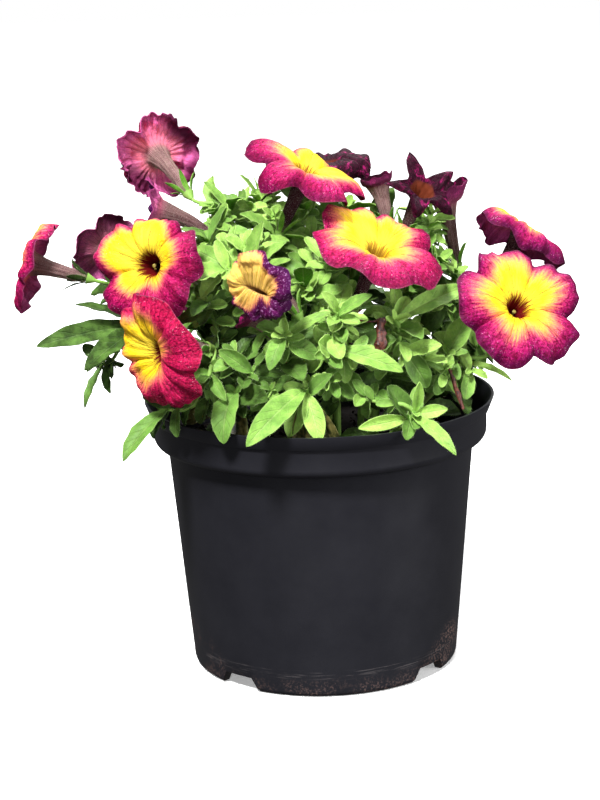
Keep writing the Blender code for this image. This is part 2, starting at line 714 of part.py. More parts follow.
def tube_segments(skeleton):
    """A stem's tubes as a bmesh of straight cylinders, a little proud, for clearance only."""
    bm = bmesh.new()
    for path, radii in skeleton.tubes():
        for low, high, radius in zip(path, path[1:], radii[1:]):
            way = high - low
            turn = UP.rotation_difference(way.normalized()).to_matrix().to_4x4()
            bmesh.ops.create_cone(bm, cap_ends=True, segments=6, radius1=radius * 1.1, radius2=radius * 1.1,
                                  depth=way.length, matrix=Matrix.Translation((low + high) / 2) @ turn)
    for bloom in skeleton.blooms:
        cup = bpy.data.meshes.new("cup")
        calyx(bloom).to_mesh(cup)
        bm.from_mesh(cup)
        bpy.data.meshes.remove(cup)
    return bm


def leaf_root(path, slot):
    """Where the leaf of a slot is rooted: the first just below the shoot's tip, the rest below it."""
    return path[-1] - path_end(path) * (0.7 + LEAF_STEP * slot) * MM


def across_leaf(heading, middle):
    """The way across a leaf whose upper face looks up and out of the plant."""
    outward = (middle - place(PLANT_MIDDLE)).normalized() + Vector(LIGHT)
    side = heading.cross(outward)
    return side.normalized() if side.length > 0.1 else any_normal(heading)


def main_leaf(skeleton, blade, slot):
    """A leaf picked out by hand, as a form from its shoot to its tip."""
    root = leaf_root(skeleton.shoots[blade.shoot], slot)
    chord = place(blade.tip) - root
    side = across_leaf(chord.normalized(), (root + place(blade.tip)) / 2)
    side.rotate(Quaternion(chord.normalized(), math.radians(blade.roll)))
    droop = math.radians(blade.droop)
    heading = Quaternion(side, droop / 2) @ chord.normalized()
    length = chord.length * (droop / 2) / math.sin(droop / 2)
    fold = LEAF_FOLD if length > LONG_LEAF else 0
    return Leaf(root, heading, side.cross(heading), length, blade.width * MM, droop, fold=fold)


def rosette_leaf(rng, axis, root, size, inner):
    """A leaf of a rosette: the outer ones are long and level, the inner ones short and upright."""
    tilt = math.radians(68 - 36 * inner + rng.uniform(-12, 12))
    out = any_normal(axis)
    out.rotate(Quaternion(axis, rng.uniform(0, math.tau)))
    length = size * MM * (1.25 - 0.5 * inner) * rng.uniform(0.9, 1.15)
    heading = axis * math.cos(tilt) + out * math.sin(tilt)
    side = across_leaf(heading, root + heading * length / 2)
    side.rotate(Quaternion(heading, math.radians(rng.uniform(-20, 20))))
    return Leaf(root, heading, side.cross(heading), length, length * rng.uniform(0.42, 0.52),
                math.radians(rng.uniform(30, 75)), math.radians(rng.uniform(-25, 25)))


def nearest(leaf, leaves):
    """How far a leaf's middle is from that of the nearest leaf already placed."""
    middle = leaf.point(0.65, 0)
    return min((middle - other.point(0.65, 0)).length for kept in leaves.values() for other in kept)


def lay_out_leaves(skeletons, clearance):
    """Every leaf by stem: the main ones first, then rosettes and low leaves wherever they fit."""
    leaves = {skeleton.stem.name: [] for skeleton in skeletons}

    def keep(name, leaf):
        leaves[name].append(leaf)
        bm = leaf.blade(LEAF_THICKNESS)
        clearance.add(name + "/leaf", bm)
        bm.free()

    filled = {}
    for skeleton in skeletons:
        name = skeleton.stem.name
        for blade in skeleton.stem.blades:
            slot = filled.get((name, blade.shoot), 0)
            filled[name, blade.shoot] = slot + 1
            form = main_leaf(skeleton, blade, slot)
            eased = (replace(form, length=form.length * (1 - 0.03 * step),
                             droop=form.droop * (1 + 0.12 * step * (-1) ** step)) for step in range(12))
            fitting = next((leaf for leaf in eased if not clearance.blocks(name, leaf)), None)
            if fitting:
                keep(name, fitting)
            else:
                print("no room for main leaf", name, blade.tip)
    for skeleton in skeletons:
        stem = skeleton.stem
        rng = random.Random(f"{stem.name} {stem.seed}")
        spots = []
        for shoot, path in enumerate(skeleton.shoots):
            first = filled.get((stem.name, shoot), 0)
            count = max(1, stem.rosette - first // 2)
            spots += [(path, first + index, 1 - index / count) for index in range(count)]
        spots += [(skeleton.trunk[:-1 - low // 2], 1 - low % 2, 0) for low in range(stem.low_leaves)]
        for path, slot, inner in spots:
            best, room = None, 0
            for attempt in range(TRIES):
                size = stem.size * (1 - 0.4 * attempt / TRIES)
                leaf = rosette_leaf(rng, path_end(path), leaf_root(path, slot), size, inner)
                free = nearest(leaf, leaves) * leaf.length
                if free > room and not clearance.blocks(stem.name, leaf):
                    best, room = leaf, free
            if best:
                keep(stem.name, best)
    return leaves


def outer_body(bm):
    """Keeps the largest body of a bmesh and drops scraps and sealed hollows."""
    left = set(bm.faces)
    bodies = []
    while left:
        stack = [left.pop()]
        body = list(stack)
        while stack:
            for edge in stack.pop().edges:
                for face in edge.link_faces:
                    if face in left:
                        left.remove(face)
                        stack.append(face)
                        body.append(face)
        bodies.append(body)
    keep = max(bodies, key=lambda body: sum(face.calc_area() for face in body))
    waste = [face for body in bodies if body is not keep for face in body]
    bmesh.ops.delete(bm, geom=waste, context="FACES")


def build_stem(skeleton, leaves, collection):
    """A leafy stem, its tubes, sepals and leaves joined in one body."""
    name = "stem_" + skeleton.stem.name
    repeats = bpy.data.collections.new(name + "_repeats")
    bpy.context.scene.collection.children.link(repeats)
    tubes = list(skeleton.tubes())
    trunk = tube_object(name, *tubes[0], collection)
    for index, tube in enumerate(tubes[1:]):
        tube_object(f"{name}_tube_{index}", *tube, repeats)
    for bloom in skeleton.blooms:
        add_object("calyx_" + bloom.name, mesh_from(calyx(bloom), "calyx"), repeats)
    for index, leaf in enumerate(leaves):
        bm = leaf.blade(LEAF_THICKNESS)
        bmesh.ops.recalc_face_normals(bm, faces=bm.faces[:])
        add_object(f"{name}_leaf_{index}", mesh_from(bm, "leaf"), repeats)
    union = trunk.modifiers.new("union", "BOOLEAN")
    union.operation = "UNION"
    union.operand_type = "COLLECTION"
    union.collection = repeats
    union.solver = "EXACT"
    joined = evaluated_mesh(trunk)
    trunk.modifiers.clear()
    for piece in list(repeats.objects):
        bpy.data.objects.remove(piece, do_unlink=True)
    bpy.data.collections.remove(repeats)
    bm = bmesh.new()
    bm.from_mesh(joined)
    bmesh.ops.remove_doubles(bm, verts=bm.verts[:], dist=0.002 * MM)
    outer_body(bm)
    bmesh.ops.dissolve_limit(bm, angle_limit=math.radians(1), verts=bm.verts[:], edges=bm.edges[:])
    trunk.data = mesh_from(bm, name)
    return trunk


def finish(obj, material, parent):
    """Gives an object its material and its parent."""
    obj.data.materials.clear()
    obj.data.materials.append(material)
    obj.parent = parent


def main():
    """Builds the potted petunia."""
    clear_scene()
    part = bpy.data.collections.new("potted_petunia")
    cutters = bpy.data.collections.new("cutters")
    for collection in (part, cutters):
        bpy.context.scene.collection.children.link(collection)
    axis = add_object("pot_axis", None, part)
    axis.location = (POT_X, POT_Y, 0)
    materials = {name: make_material(name) for name in COLOURS}

    pot = build_pot(part, cutters)
    soil = build_soil(part, cutters)
    clearance = Clearance()
    for obj in (pot, soil):
        bm = bmesh.new()
        bm.from_mesh(evaluated_mesh(obj))
        clearance.add(obj.name, bm)
        bm.free()
    finish(pot, materials["pot"], axis)
    finish(soil, materials["soil"], axis)
    for obj in cutters.objects:
        obj.parent = axis

    for bloom in BLOOMS:
        corolla = build_corolla(bloom, part)
        bm = bmesh.new()
        bm.from_mesh(evaluated_mesh(corolla))
        clearance.add(corolla.name, bm)
        bm.free()
        finish(corolla, materials["old_petal" if bloom.name in OLD_BLOOMS else "petal"], axis)
    skeletons = [Skeleton(stem) for stem in STEMS]
    for skeleton in skeletons:
        bm = tube_segments(skeleton)
        clearance.add(skeleton.stem.name, bm)
        bm.free()
    leaves = lay_out_leaves(skeletons, clearance)
    for skeleton in skeletons:
        stem = build_stem(skeleton, leaves[skeleton.stem.name], part)
        finish(stem, materials["leaf"], axis)


main()
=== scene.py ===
"""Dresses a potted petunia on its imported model: pot, potting mix, leafy stems and blooms.

The plant's tables are in millimetres from the pot's axis and from the ground, as in the part's
source. Everything else is in metres. Pieces are modelled about the pot's axis and moved to the
row frame as they are finished.
"""

import logging
from dataclasses import dataclass, replace
from enum import Enum
from math import atan2, cos, exp, hypot, pi, radians, remainder, sin, sqrt, tau
from random import Random
from typing import Any, Iterator, Optional, Sequence

import bmesh
import bpy
from bmesh import ops
from bmesh.types import BMesh
from bpy.types import Material, Mesh, Object
from mathutils import Matrix, Quaternion, Vector, noise
from mathutils.bvhtree import BVHTree
from mathutils.kdtree import KDTree


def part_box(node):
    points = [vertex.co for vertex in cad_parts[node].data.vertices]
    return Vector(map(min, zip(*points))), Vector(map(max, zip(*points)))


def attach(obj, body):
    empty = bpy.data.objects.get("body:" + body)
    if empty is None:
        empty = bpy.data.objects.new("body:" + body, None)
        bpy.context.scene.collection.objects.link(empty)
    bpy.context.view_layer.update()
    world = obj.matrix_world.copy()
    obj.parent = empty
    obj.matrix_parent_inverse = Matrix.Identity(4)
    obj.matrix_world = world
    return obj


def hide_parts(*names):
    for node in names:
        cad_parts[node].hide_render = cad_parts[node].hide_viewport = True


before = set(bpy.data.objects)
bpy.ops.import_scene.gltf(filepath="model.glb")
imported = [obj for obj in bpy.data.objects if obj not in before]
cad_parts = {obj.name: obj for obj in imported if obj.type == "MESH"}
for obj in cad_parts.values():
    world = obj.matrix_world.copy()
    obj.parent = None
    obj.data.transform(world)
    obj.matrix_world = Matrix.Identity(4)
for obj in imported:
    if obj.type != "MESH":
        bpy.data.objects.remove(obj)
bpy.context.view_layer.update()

logging.basicConfig(level=logging.INFO, format="%(message)s")
LOG = logging.getLogger("petunia")

MM = 0.001
UP = Vector((0, 0, 1))
GOLDEN = radians(137.5)
BODY = "root"
LOBES = 5
HAIR_RADIUS = 0.04 * MM
WELD = 0.005 * MM
NOISE_SEED = 5
POT_LOW, POT_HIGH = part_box("pot")
POT_AXIS = Vector(((POT_LOW.x + POT_HIGH.x) / 2, (POT_LOW.y + POT_HIGH.y) / 2, 0))

Point = tuple[float, float, float]
Rgb = tuple[int, int, int]


# the plant's tables


class Age(Enum):
    """How old a bloom is, which sets its colours."""

    FRESH = 0.0
    CLOSING = 1.0
    FADED = 0.45


@dataclass(frozen=True)
class Bloom:
    """A bloom's place, form and colouring, the places in millimetres.

    The form's fields are the solid's, and then come the finer ones: how narrow the notches are,
    how crumpled it is, and how far its throat is closed to a slit. The colouring is how far the
    yellow heart reaches, where it leans to and how wide its edge is, how pale the tube is, how
    dark the ribs are, how purple the rim is, or how red below 0, and how pink the back is. A place
    of painted shade on the back, standing in for the shadow in a fold or pocket, is a turn in
    degrees, a part and a reach.
    """

    name: str
    stem: str
    seat: Point
    leaves: Point
    faces: Point
    tube: float
    limb: float
    spread: float = -8.0
    lobe_bends: tuple[float, ...] = (0, 0, 0, 0, 0)
    notch: float = 0.16
    wave: float = 1.4
    age: Age = Age.FRESH
    cleft: float = 6.0
    fold: float = 0.0
    crumple: float = 0.0
    slit: float = 0.0
    slit_at: float = 0.0
    heart: float = 0.5
    lean: float = 0.2
    lean_at: float = 0.0
    fade: float = 0.1
    tone: float = 0.5
    ribs: float = 0.3
    cool: float = 0.4
    blush: float = 0.3
    shade: tuple[tuple[float, float, float], ...] = ()


@dataclass(frozen=True)
class Blade:
    """A listed leaf: its tip, its width, the shoot it grows from, its droop and its roll."""

    tip: Point
    width: float
    shoot: int = 0
    droop: float = 40.0
    roll: float = 0.0


@dataclass(frozen=True)
class Stem:
    """A leafy stem: its foot in the mix, its crown, its side shoots' tips and its main leaves.

    Then comes what the solid lacks: fine leaves, twigs' tips, dead leaves, and shrivelled remains as
    two ends and a radius.
    """

    name: str
    foot: tuple[float, float]
    crown: Point
    tips: tuple[Point, ...] = ()
    blades: tuple[Blade, ...] = ()
    rosette: int = 2
    size: float = 23.0
    low_leaves: int = 2
    seed: int = 1
    tone: float = 0.55
    young: int = 9
    extra: tuple[Blade, ...] = ()
    twigs: tuple[Point, ...] = ()
    dead: tuple[Blade, ...] = ()
    spent: tuple[tuple[Point, Point, float], ...] = ()


BLOOMS = (
    Bloom("upper_left", "left_top", (-60, 0, 232), (-0.46, 0.67, 0.58), (-0.36, 0.91, 0.16), 38, 23, -38,
          (0, -10, -5, -25, 10), wave=2.8, crumple=1.0, heart=0.35, tone=0.95, cool=0.3, blush=1.0,
          shade=((50, 1.95, 0.8), (218, 1.6, 0.55), (118, 2.0, 0.5))),
    Bloom("old_left", "left_top", (-48, -14, 212), (-0.71, 0.1, 0.69), (-0.95, -0.05, 0.22), 28, 13, 38,
          (35, 0, -30, -30, 0), wave=1.2, age=Age.FADED, crumple=0.6, heart=0.1, tone=0.5, ribs=0.8,
          cool=0.8, blush=0.8),
    Bloom("top_front", "top", (-16, -22, 216), (0.42, 0.12, 0.9), (0.41, -0.16, 0.9), 31, 29, -34,
          (-14, -52, -6, -14, -8), notch=0.46, wave=2.2, cleft=1.6, heart=0.42, lean=0.28, lean_at=-110,
          fade=0.28, tone=0.08, cool=0.45, blush=0.1),
    Bloom("top_hidden", "top", (-25, 8, 226), (0.42, 0.22, 0.88), (0.42, 0.22, 0.88), 18, 8, 75, wave=0.5,
          age=Age.CLOSING, tone=0.55),
    Bloom("top_back", "top_back", (10, 34, 215), (-0.1, 0.14, 0.98), (-0.15, -0.02, 0.98), 25, 25, -46,
          (-40, 0, -10, 0, -60), wave=1.8, age=Age.CLOSING, crumple=0.5, heart=0.1, tone=0.2, cool=0.6,
          blush=0.3),
    Bloom("top_bud", "top_back", (36, 16, 211), (-0.2, 0.18, 0.92), (-0.25, 0.03, 0.95), 21, 5, 95,
          wave=0.5, age=Age.CLOSING, tone=1.0, blush=0.5),
    Bloom("centre", "centre", (17, -38, 182), (0.41, -0.13, 0.9), (0.33, -0.36, 0.87), 31, 28, -30,
          (10, -5, 10, -5, 5), notch=0.2, wave=1.8, heart=0.48, lean=0.28, fade=0.24, tone=0.1, ribs=0.2,
          cool=0.25, blush=0.2),
    Bloom("star", "right_top", (42, 0, 210), (0.4, -0.08, 0.89), (0.3, -0.54, 0.76), 25, 16, 10,
          (30, -20, -60, -50, 0), notch=0.8, wave=0.8, age=Age.CLOSING, cleft=0.65, fold=4.5, crumple=0.45,
          heart=0.15, tone=0.2, cool=0.5),
    Bloom("right_closing", "right", (69, 18, 192), (-0.22, 0.12, 0.96), (-0.14, -0.06, 0.98), 30, 12, 84,
          wave=0.5, age=Age.CLOSING, fold=1.0, crumple=0.3, tone=0.75, cool=0.9, blush=0.8),
    Bloom("far_right", "right", (88, 12, 186), (0.5, 0.21, 0.84), (0.55, 0.3, 0.78), 25, 23, -36,
          (-35, -75, -20, -20, -75), wave=1.8, heart=0.34, lean=0.2, fade=0.2, tone=0.12, cool=0.95,
          blush=0.75),
    Bloom("right_front", "right_front", (83, -14, 156), (0.35, -0.36, 0.86), (0.32, -0.72, 0.55), 31, 28,
          -25, (-20, 5, -15, -10, 5), notch=0.2, wave=2.3, heart=0.48, lean=0.14, fade=0.24, tone=0.3,
          ribs=0.45, cool=0.8),
    Bloom("left_front", "left_front", (-65, -26, 199), (-0.3, -0.9, 0.33), (-0.45, -0.87, 0.2), 28, 23, -15,
          (-78, -5, -8, -14, -25), wave=2.6, heart=0.5, lean=0.34, lean_at=38, fade=0.16, tone=0.5,
          ribs=0.5, cool=0.4),
    Bloom("low_left", "left_front", (-51, -57, 169), (-0.75, -0.61, 0.2), (-0.74, -0.65, -0.1), 27, 26, -35,
          (30, 0, 0, -20, 0), wave=1.8, crumple=0.3, slit=0.75, slit_at=80, heart=0.4, lean=0.36,
          lean_at=62, fade=0.22, tone=0.7, ribs=0.9, cool=-0.6, blush=0.6),
    Bloom("far_left", "far_left", (-109, -15, 195), (-0.95, -0.03, 0.3), (-0.96, 0.02, 0.28), 26, 22, -35,
          (-50, 0, -10, 0, 0), wave=1.5, crumple=0.3, heart=0.4, fade=0.3, tone=0.8, cool=0.4, blush=0.75),
    Bloom("left_back", "far_left", (-92, 10, 192), (-0.42, 0.69, 0.59), (-0.61, 0.71, 0.34), 22, 15, -25,
          (0, 10, -10, 20, 0), wave=1.5, age=Age.CLOSING, crumple=0.4, heart=0.1, tone=0.5, cool=0.2,
          blush=1.2, shade=((10, 2.0, 0.6),)),
    Bloom("wilted", "front_left", (-9, -62, 185), (-0.5, 0.11, 0.86), (-0.45, -0.88, -0.14), 29, 16, -40,
          (30, -30, -45, -30, 30), wave=2.2, age=Age.FADED, crumple=0.8, slit=1.0, slit_at=-50, heart=0.5,
          lean=0.42, lean_at=32, fade=0.18, tone=0.8, ribs=0.8, cool=1.0, blush=0.6),
    Bloom("wilted_small", "front_left", (-20, -55, 172), (-0.5, 0.1, 0.86), (-0.75, 0, 0.6), 14, 5, 60,
          wave=0.5, age=Age.CLOSING, tone=0.7),
    Bloom("back_left", "back_left", (-44, 60, 160), (-0.3, 0.7, 0.65), (-0.4, 0.85, 0.35), 28, 22, -30,
          (0, -10, 5, 0, 10), wave=1.6, tone=0.4),
    Bloom("back", "back", (4, 68, 158), (0.1, 0.75, 0.6), (0.05, 0.9, 0.35), 26, 21, -30,
          (5, 0, -10, 10, 0), wave=1.6, tone=0.4),
)

STEMS = (
    Stem("far_left", (-42, -4), (-84, -14, 172), ((-101, -28, 156), (-94, 2, 184)),
         (Blade((-132, -32, 166), 12, droop=30, roll=-35),
          Blade((-111, -45, 150), 12, droop=45, roll=-30),
          Blade((-113, -30, 185), 8, droop=25), Blade((-110, -38, 137), 6, 1, 30),
          Blade((-98, -34, 143), 6, 1, 30)), low_leaves=1, tone=-0.04, young=5),
    Stem("left_front", (-36, -22), (-46, -30, 168), ((-50, -46, 188), (-50, -60, 156)),
         (Blade((-58, -68, 144), 5, 2, 35), Blade((-42, -72, 147), 6, 2, 40)),
         low_leaves=1, tone=0.4),
    Stem("left_low", (-26, -42), (-38, -60, 148), ((-70, -55, 140), (-30, -62, 158)),
         (Blade((-90, -72, 120), 10, 1, 50), Blade((-48, -90, 133), 13, droop=60),
          Blade((-45, -68, 170), 8, 2, 35)), tone=0.25,
         twigs=((-38, -62, 166), (-48, -56, 152), (-28, -66, 150)),
         dead=(Blade((-64, -46, 131), 11, droop=40), Blade((-34, -66, 119), 9, droop=50))),
    Stem("left_top", (-26, -4), (-43, -8, 198), ((-50, -25, 212), (-38, -8, 226)),
         (Blade((-41, -24, 229), 5.5, 1, 20),), low_leaves=1,
         extra=(Blade((-57, -30, 217), 5, shoot=1), Blade((-52, -6, 238), 4.5, 2, 30)),
         twigs=((-48, -6, 226), (-43, -22, 222), (-40, -6, 216), (-54, -36, 205))),
    Stem("front_left", (-14, -36), (-14, -54, 162), ((-15, -67, 176),),
         (Blade((-22, -78, 162), 8, 1, 60), Blade((-32, -74, 166), 4, 1, 80),
          Blade((6, -68, 186), 5.5, 1, 50),),
         twigs=((-26, -60, 158), (-6, -62, 158), (-22, -66, 150), (-34, -58, 166))),
    Stem("centre_left", (-14, -18), (-31, -44, 202), ((-42, -50, 203),),
         (Blade((-23, -50, 225), 8, droop=25), Blade((-13, -48, 215), 6.5, droop=35),
          Blade((-11, -55, 208), 5.5, droop=30), Blade((-55, -58, 200), 12, 1, 45)),
         tone=0.7, young=14, extra=(Blade((-45, -48, 217), 6, shoot=1), Blade((-30, -36, 218), 5)),
         twigs=((-40, -36, 214), (-32, -42, 214), (-46, -42, 204), (-26, -30, 212), (-18, -46, 196))),
    Stem("top", (-8, -2), (-20, -12, 202), ((-27, -3, 229), (-18, -18, 212)),
         (Blade((-35, -8, 241), 5, 1, 30), Blade((-34, -14, 236), 8, 1, 45),
          Blade((-35, -26, 225), 9, 2, 40)), low_leaves=1, tone=0.7, young=12,
         extra=(Blade((-22, -18, 232), 7, 2, 30), Blade((-6, -26, 222), 6, shoot=2)),
         twigs=((-30, -12, 226), (-20, -14, 222), (-28, -24, 216), (-9, -22, 210), (-32, 2, 222),
                (-12, 2, 214), (-4, -12, 206), (-18, 12, 222), (-6, 4, 216))),
    Stem("top_back", (6, 14), (20, 20, 202), ((-5, -2, 222), (30, 26, 208)), low_leaves=1,
         twigs=((12, 6, 210), (24, 10, 212), (40, 20, 210), (2, 14, 214), (20, 30, 212), (4, 28, 208),
                (34, 34, 200), (12, 18, 202), (4, 14, 221), (15, 18, 219), (26, 24, 218))),
    Stem("centre", (4, -22), (10, -30, 172), ((4, -36, 205), (-6, -50, 194)),
         (Blade((-6, -60, 205), 9, 2, 40),), young=12,
         extra=(Blade((-5, -30, 214), 6, shoot=1), Blade((12, -44, 210), 6, shoot=1)),
         twigs=((-7, -20, 200), (0, -20, 196), (6, -30, 192), (2, -45, 182), (13, -20, 184),
                (24, -34, 170), (-2, -34, 176))),
    Stem("centre_front", (8, -44), (9, -60, 184), ((5, -64, 166),),
         (Blade((2, -67, 195), 6, droop=50), Blade((25, -66, 193), 6.5, droop=45),
          Blade((0, -71, 173), 12, 1, 30), Blade((38, -70, 158), 10, 1, 45)),
         low_leaves=4, tone=0.7, young=12,
         extra=(Blade((13, -62, 198), 6), Blade((5, -74, 181), 6, droop=30)),
         twigs=((14, -60, 178), (0, -58, 172), (18, -62, 166), (2, -66, 156), (16, -56, 154)),
         spent=(((29, -55, 180), (28, -60, 162), 2.3), ((27, -56, 168), (31, -61, 160), 1.6))),
    Stem("right_top", (20, 0), (46, -2, 198), ((55, 0, 213), (57, 12, 218)),
         (Blade((45, -14, 208), 7, 1, 45), Blade((62, -8, 216), 7, 1, 40),
          Blade((54, -16, 207), 7, 1, 55),), extra=(Blade((57, 8, 227), 5, shoot=2),),
         twigs=((51, 15, 214), (58, 10, 208), (44, 8, 206), (36, 4, 200), (60, -4, 198))),
    Stem("right", (36, 4), (68, 8, 172), ((60, -8, 178),),
         (Blade((68, 2, 184), 5, droop=70),),
         twigs=((75, 5, 198), (66, 4, 190), (59, 0, 184), (79, 10, 184), (70, -4, 176))),
    Stem("right_mid", (26, -22), (36, -42, 176), ((39, -46, 160),),
         (Blade((73, -30, 191), 11, droop=40), Blade((57, -52, 166), 8, 1, 45)),
         low_leaves=3, tone=0.85,
         extra=(Blade((56, -60, 157), 7, shoot=1), Blade((53, -64, 148), 7, 1, 55)),
         twigs=((36, -24, 180), (48, -48, 164), (52, -40, 158), (30, -52, 164), (44, -30, 170))),
    Stem("right_front", (42, -16), (68, -14, 150), (),
         (Blade((54, -28, 166), 11, droop=45), Blade((92, -22, 141), 4.5, droop=60)), low_leaves=4,
         tone=0.85, young=4, twigs=((60, -30, 156), (72, -26, 148), (58, -40, 150)),
         spent=(((61, -40, 152), (67, -45, 134), 1.0),)),
    Stem("front_right", (28, -48), (43, -71, 139), ((19, -61, 146),),
         (Blade((45, -76, 155), 5.5, droop=15), Blade((58, -73, 141), 6.5, droop=25),
          Blade((60, -95, 125), 7.5, droop=45), Blade((17, -77, 134), 7, droop=25),
          Blade((16, -68, 142), 6, 1, 30)), rosette=1, low_leaves=3, tone=0.8, young=7),
    Stem("front_low", (-4, -50), (-6, -67, 151), (),
         (Blade((-33, -93, 131), 13, droop=50), Blade((0, -78, 128), 10, droop=35),
          Blade((-16, -78, 129), 10, droop=35)), tone=0.75,
         dead=(Blade((-9, -73, 121), 10, droop=30), Blade((10, -72, 119), 8, droop=40))),
    Stem("back_left", (-24, 24), (-42, 44, 168), ((-62, 34, 190), (-26, 58, 190)), low_leaves=1,
         twigs=((-54, 36, 176), (-34, 54, 178), (-50, 58, 156), (-40, 30, 188), (-30, 66, 150))),
    Stem("back", (-2, 36), (-2, 56, 160), ((-14, 50, 190), (14, 48, 194)), low_leaves=1,
         twigs=((-14, 60, 174), (12, 58, 176), (-8, 72, 146), (16, 70, 144), (0, 40, 192))),
    Stem("back_right", (26, 28), (38, 46, 168), ((58, 40, 180), (34, 44, 196)), low_leaves=1,
         twigs=((48, 52, 166), (42, 36, 186), (54, 30, 178), (32, 62, 156), (46, 64, 142))),
    Stem("left_back", (-46, 14), (-72, 34, 158), ((-58, 62, 156),), low_leaves=1,
         twigs=((-74, 46, 146), (-62, 50, 168), (-78, 20, 160), (-56, 68, 140))),
    Stem("right_back", (46, 20), (74, 32, 154), ((60, 58, 156),), low_leaves=1,
         twigs=((74, 46, 142), (62, 48, 166), (80, 18, 150), (58, 66, 140))),
)


# small helpers


def srgb(red: int, green: int, blue: int) -> tuple[float, float, float, float]:
    """A screen colour of 0 to 255 as the linear colour that a shader takes.

    Args:
        red: the red part.
        green: the green part.
        blue: the blue part.

    Returns:
        The linear colour, opaque.
    """
    def linear(value: int) -> float:
        """One part of the colour, made linear."""
        part = value / 255
        return part / 12.92 if part <= 0.04045 else ((part + 0.055) / 1.055) ** 2.4
    return linear(red), linear(green), linear(blue), 1.0


def place(point: Sequence[float]) -> Vector:
    """A vector in metres from a place in millimetres."""
    return Vector(point) * MM


def set_up(thing: Any, **settings: Any) -> Any:
    """The thing, with some of its settings made."""
    for name, value in settings.items():
        setattr(thing, name, value)
    return thing


def ease(low: float, high: float, value: float) -> float:
    """A smooth step from 0 at low to 1 at high."""
    part = min(1.0, max(0.0, (value - low) / (high - low)))
    return part * part * (3 - 2 * part)


def arc(length: float, start: float, end: float, part: float) -> tuple[float, float]:
    """Distance along and rise of a point on an arc whose slope goes from start to end.

    Args:
        length: the arc's whole length.
        start: its first slope, in radians.
        end: its last slope, in radians.
        part: how far along it the point is, from 0 to 1.

    Returns:
        The distance along and the rise.
    """
    turn = end - start
    if abs(turn) < 1e-4:
        return length * part * cos(start), length * part * sin(start)
    slope = start + turn * part
    radius = length / turn
    return radius * (sin(slope) - sin(start)), radius * (cos(start) - cos(slope))


def any_normal(direction: Vector) -> Vector:
    """A unit vector square to a direction, as near level as it can be."""
    side = direction.cross(UP)
    return side.normalized() if side.length > 1e-3 else Vector((1, 0, 0))


def sideways(axis: Vector, turn: float) -> Vector:
    """A unit vector square to an axis, and turned about it."""
    side = any_normal(axis)
    side.rotate(Quaternion(axis, turn))
    return side


def curve(start: Vector, leaving: Vector, arriving: Vector, end: Vector, parts: int) -> list[Vector]:
    """Points along a cubic curve, from its start to its end.

    Args:
        start: its first point.
        leaving: the handle of the first point.
        arriving: the handle of the last point.
        end: its last point.
        parts: how many parts it is cut into.

    Returns:
        The points, one more than the parts.
    """
    steps = [(index / parts, 1 - index / parts) for index in range(parts + 1)]
    return [start * rest ** 3 + leaving * 3 * rest * rest * part
            + arriving * 3 * rest * part * part + end * part ** 3 for part, rest in steps]


def arched(chord: Vector, side: Vector, droop: float) -> tuple[Vector, float]:
    """The first heading and the length of an arc that turns by a droop over a chord."""
    half = droop / 2
    return Quaternion(side, half) @ chord.normalized(), chord.length * half / sin(half)


def path_end(path: Sequence[Vector]) -> Vector:
    """The direction in which a path ends."""
    return (path[-1] - path[-2]).normalized()


def turned(profile: Sequence[tuple[float, float]], steps: int) -> BMesh:
    """A body turned about the pot's axis from a profile of (radius, height) points.

    Args:
        profile: the points, from the first to the last.
        steps: how many steps the turn has.

    Returns:
        The turned surface, with its poles closed.
    """
    bm = bmesh.new()
    points = [bm.verts.new((radius, 0, height)) for radius, height in profile]
    lines = [bm.edges.new(pair) for pair in zip(points, points[1:])]
    ops.spin(bm, geom=points + lines, cent=(0, 0, 0), axis=(0, 0, 1), dvec=(0, 0, 0), angle=tau,
             steps=steps, use_merge=True)
    ops.remove_doubles(bm, verts=bm.verts[:], dist=WELD)
    return bm


def mesh_of(bm: BMesh, name: str) -> Mesh:
    """A mesh of a bmesh, which is then freed."""
    mesh = bpy.data.meshes.new(name)
    bm.to_mesh(mesh)
    bm.free()
    return mesh


def linked(name: str, data: Any) -> Object:
    """A new object of some data, linked into the scene."""
    obj = bpy.data.objects.new(name, data)
    bpy.context.scene.collection.objects.link(obj)
    return obj


def discard(obj: Object) -> None:
    """Removes a passing object and its data."""
    data = obj.data
    bpy.data.objects.remove(obj)
    group = bpy.data.curves if isinstance(data, bpy.types.Curve) else bpy.data.meshes
    group.remove(data)


def baked(obj: Object) -> BMesh:
    """A bmesh of a passing object as its modifiers leave it; the object is removed."""
    bpy.context.view_layer.update()
    mesh = bpy.data.meshes.new_from_object(obj.evaluated_get(bpy.context.evaluated_depsgraph_get()))
    discard(obj)
    bm = bmesh.new()
    bm.from_mesh(mesh)
    bpy.data.meshes.remove(mesh)
    return bm


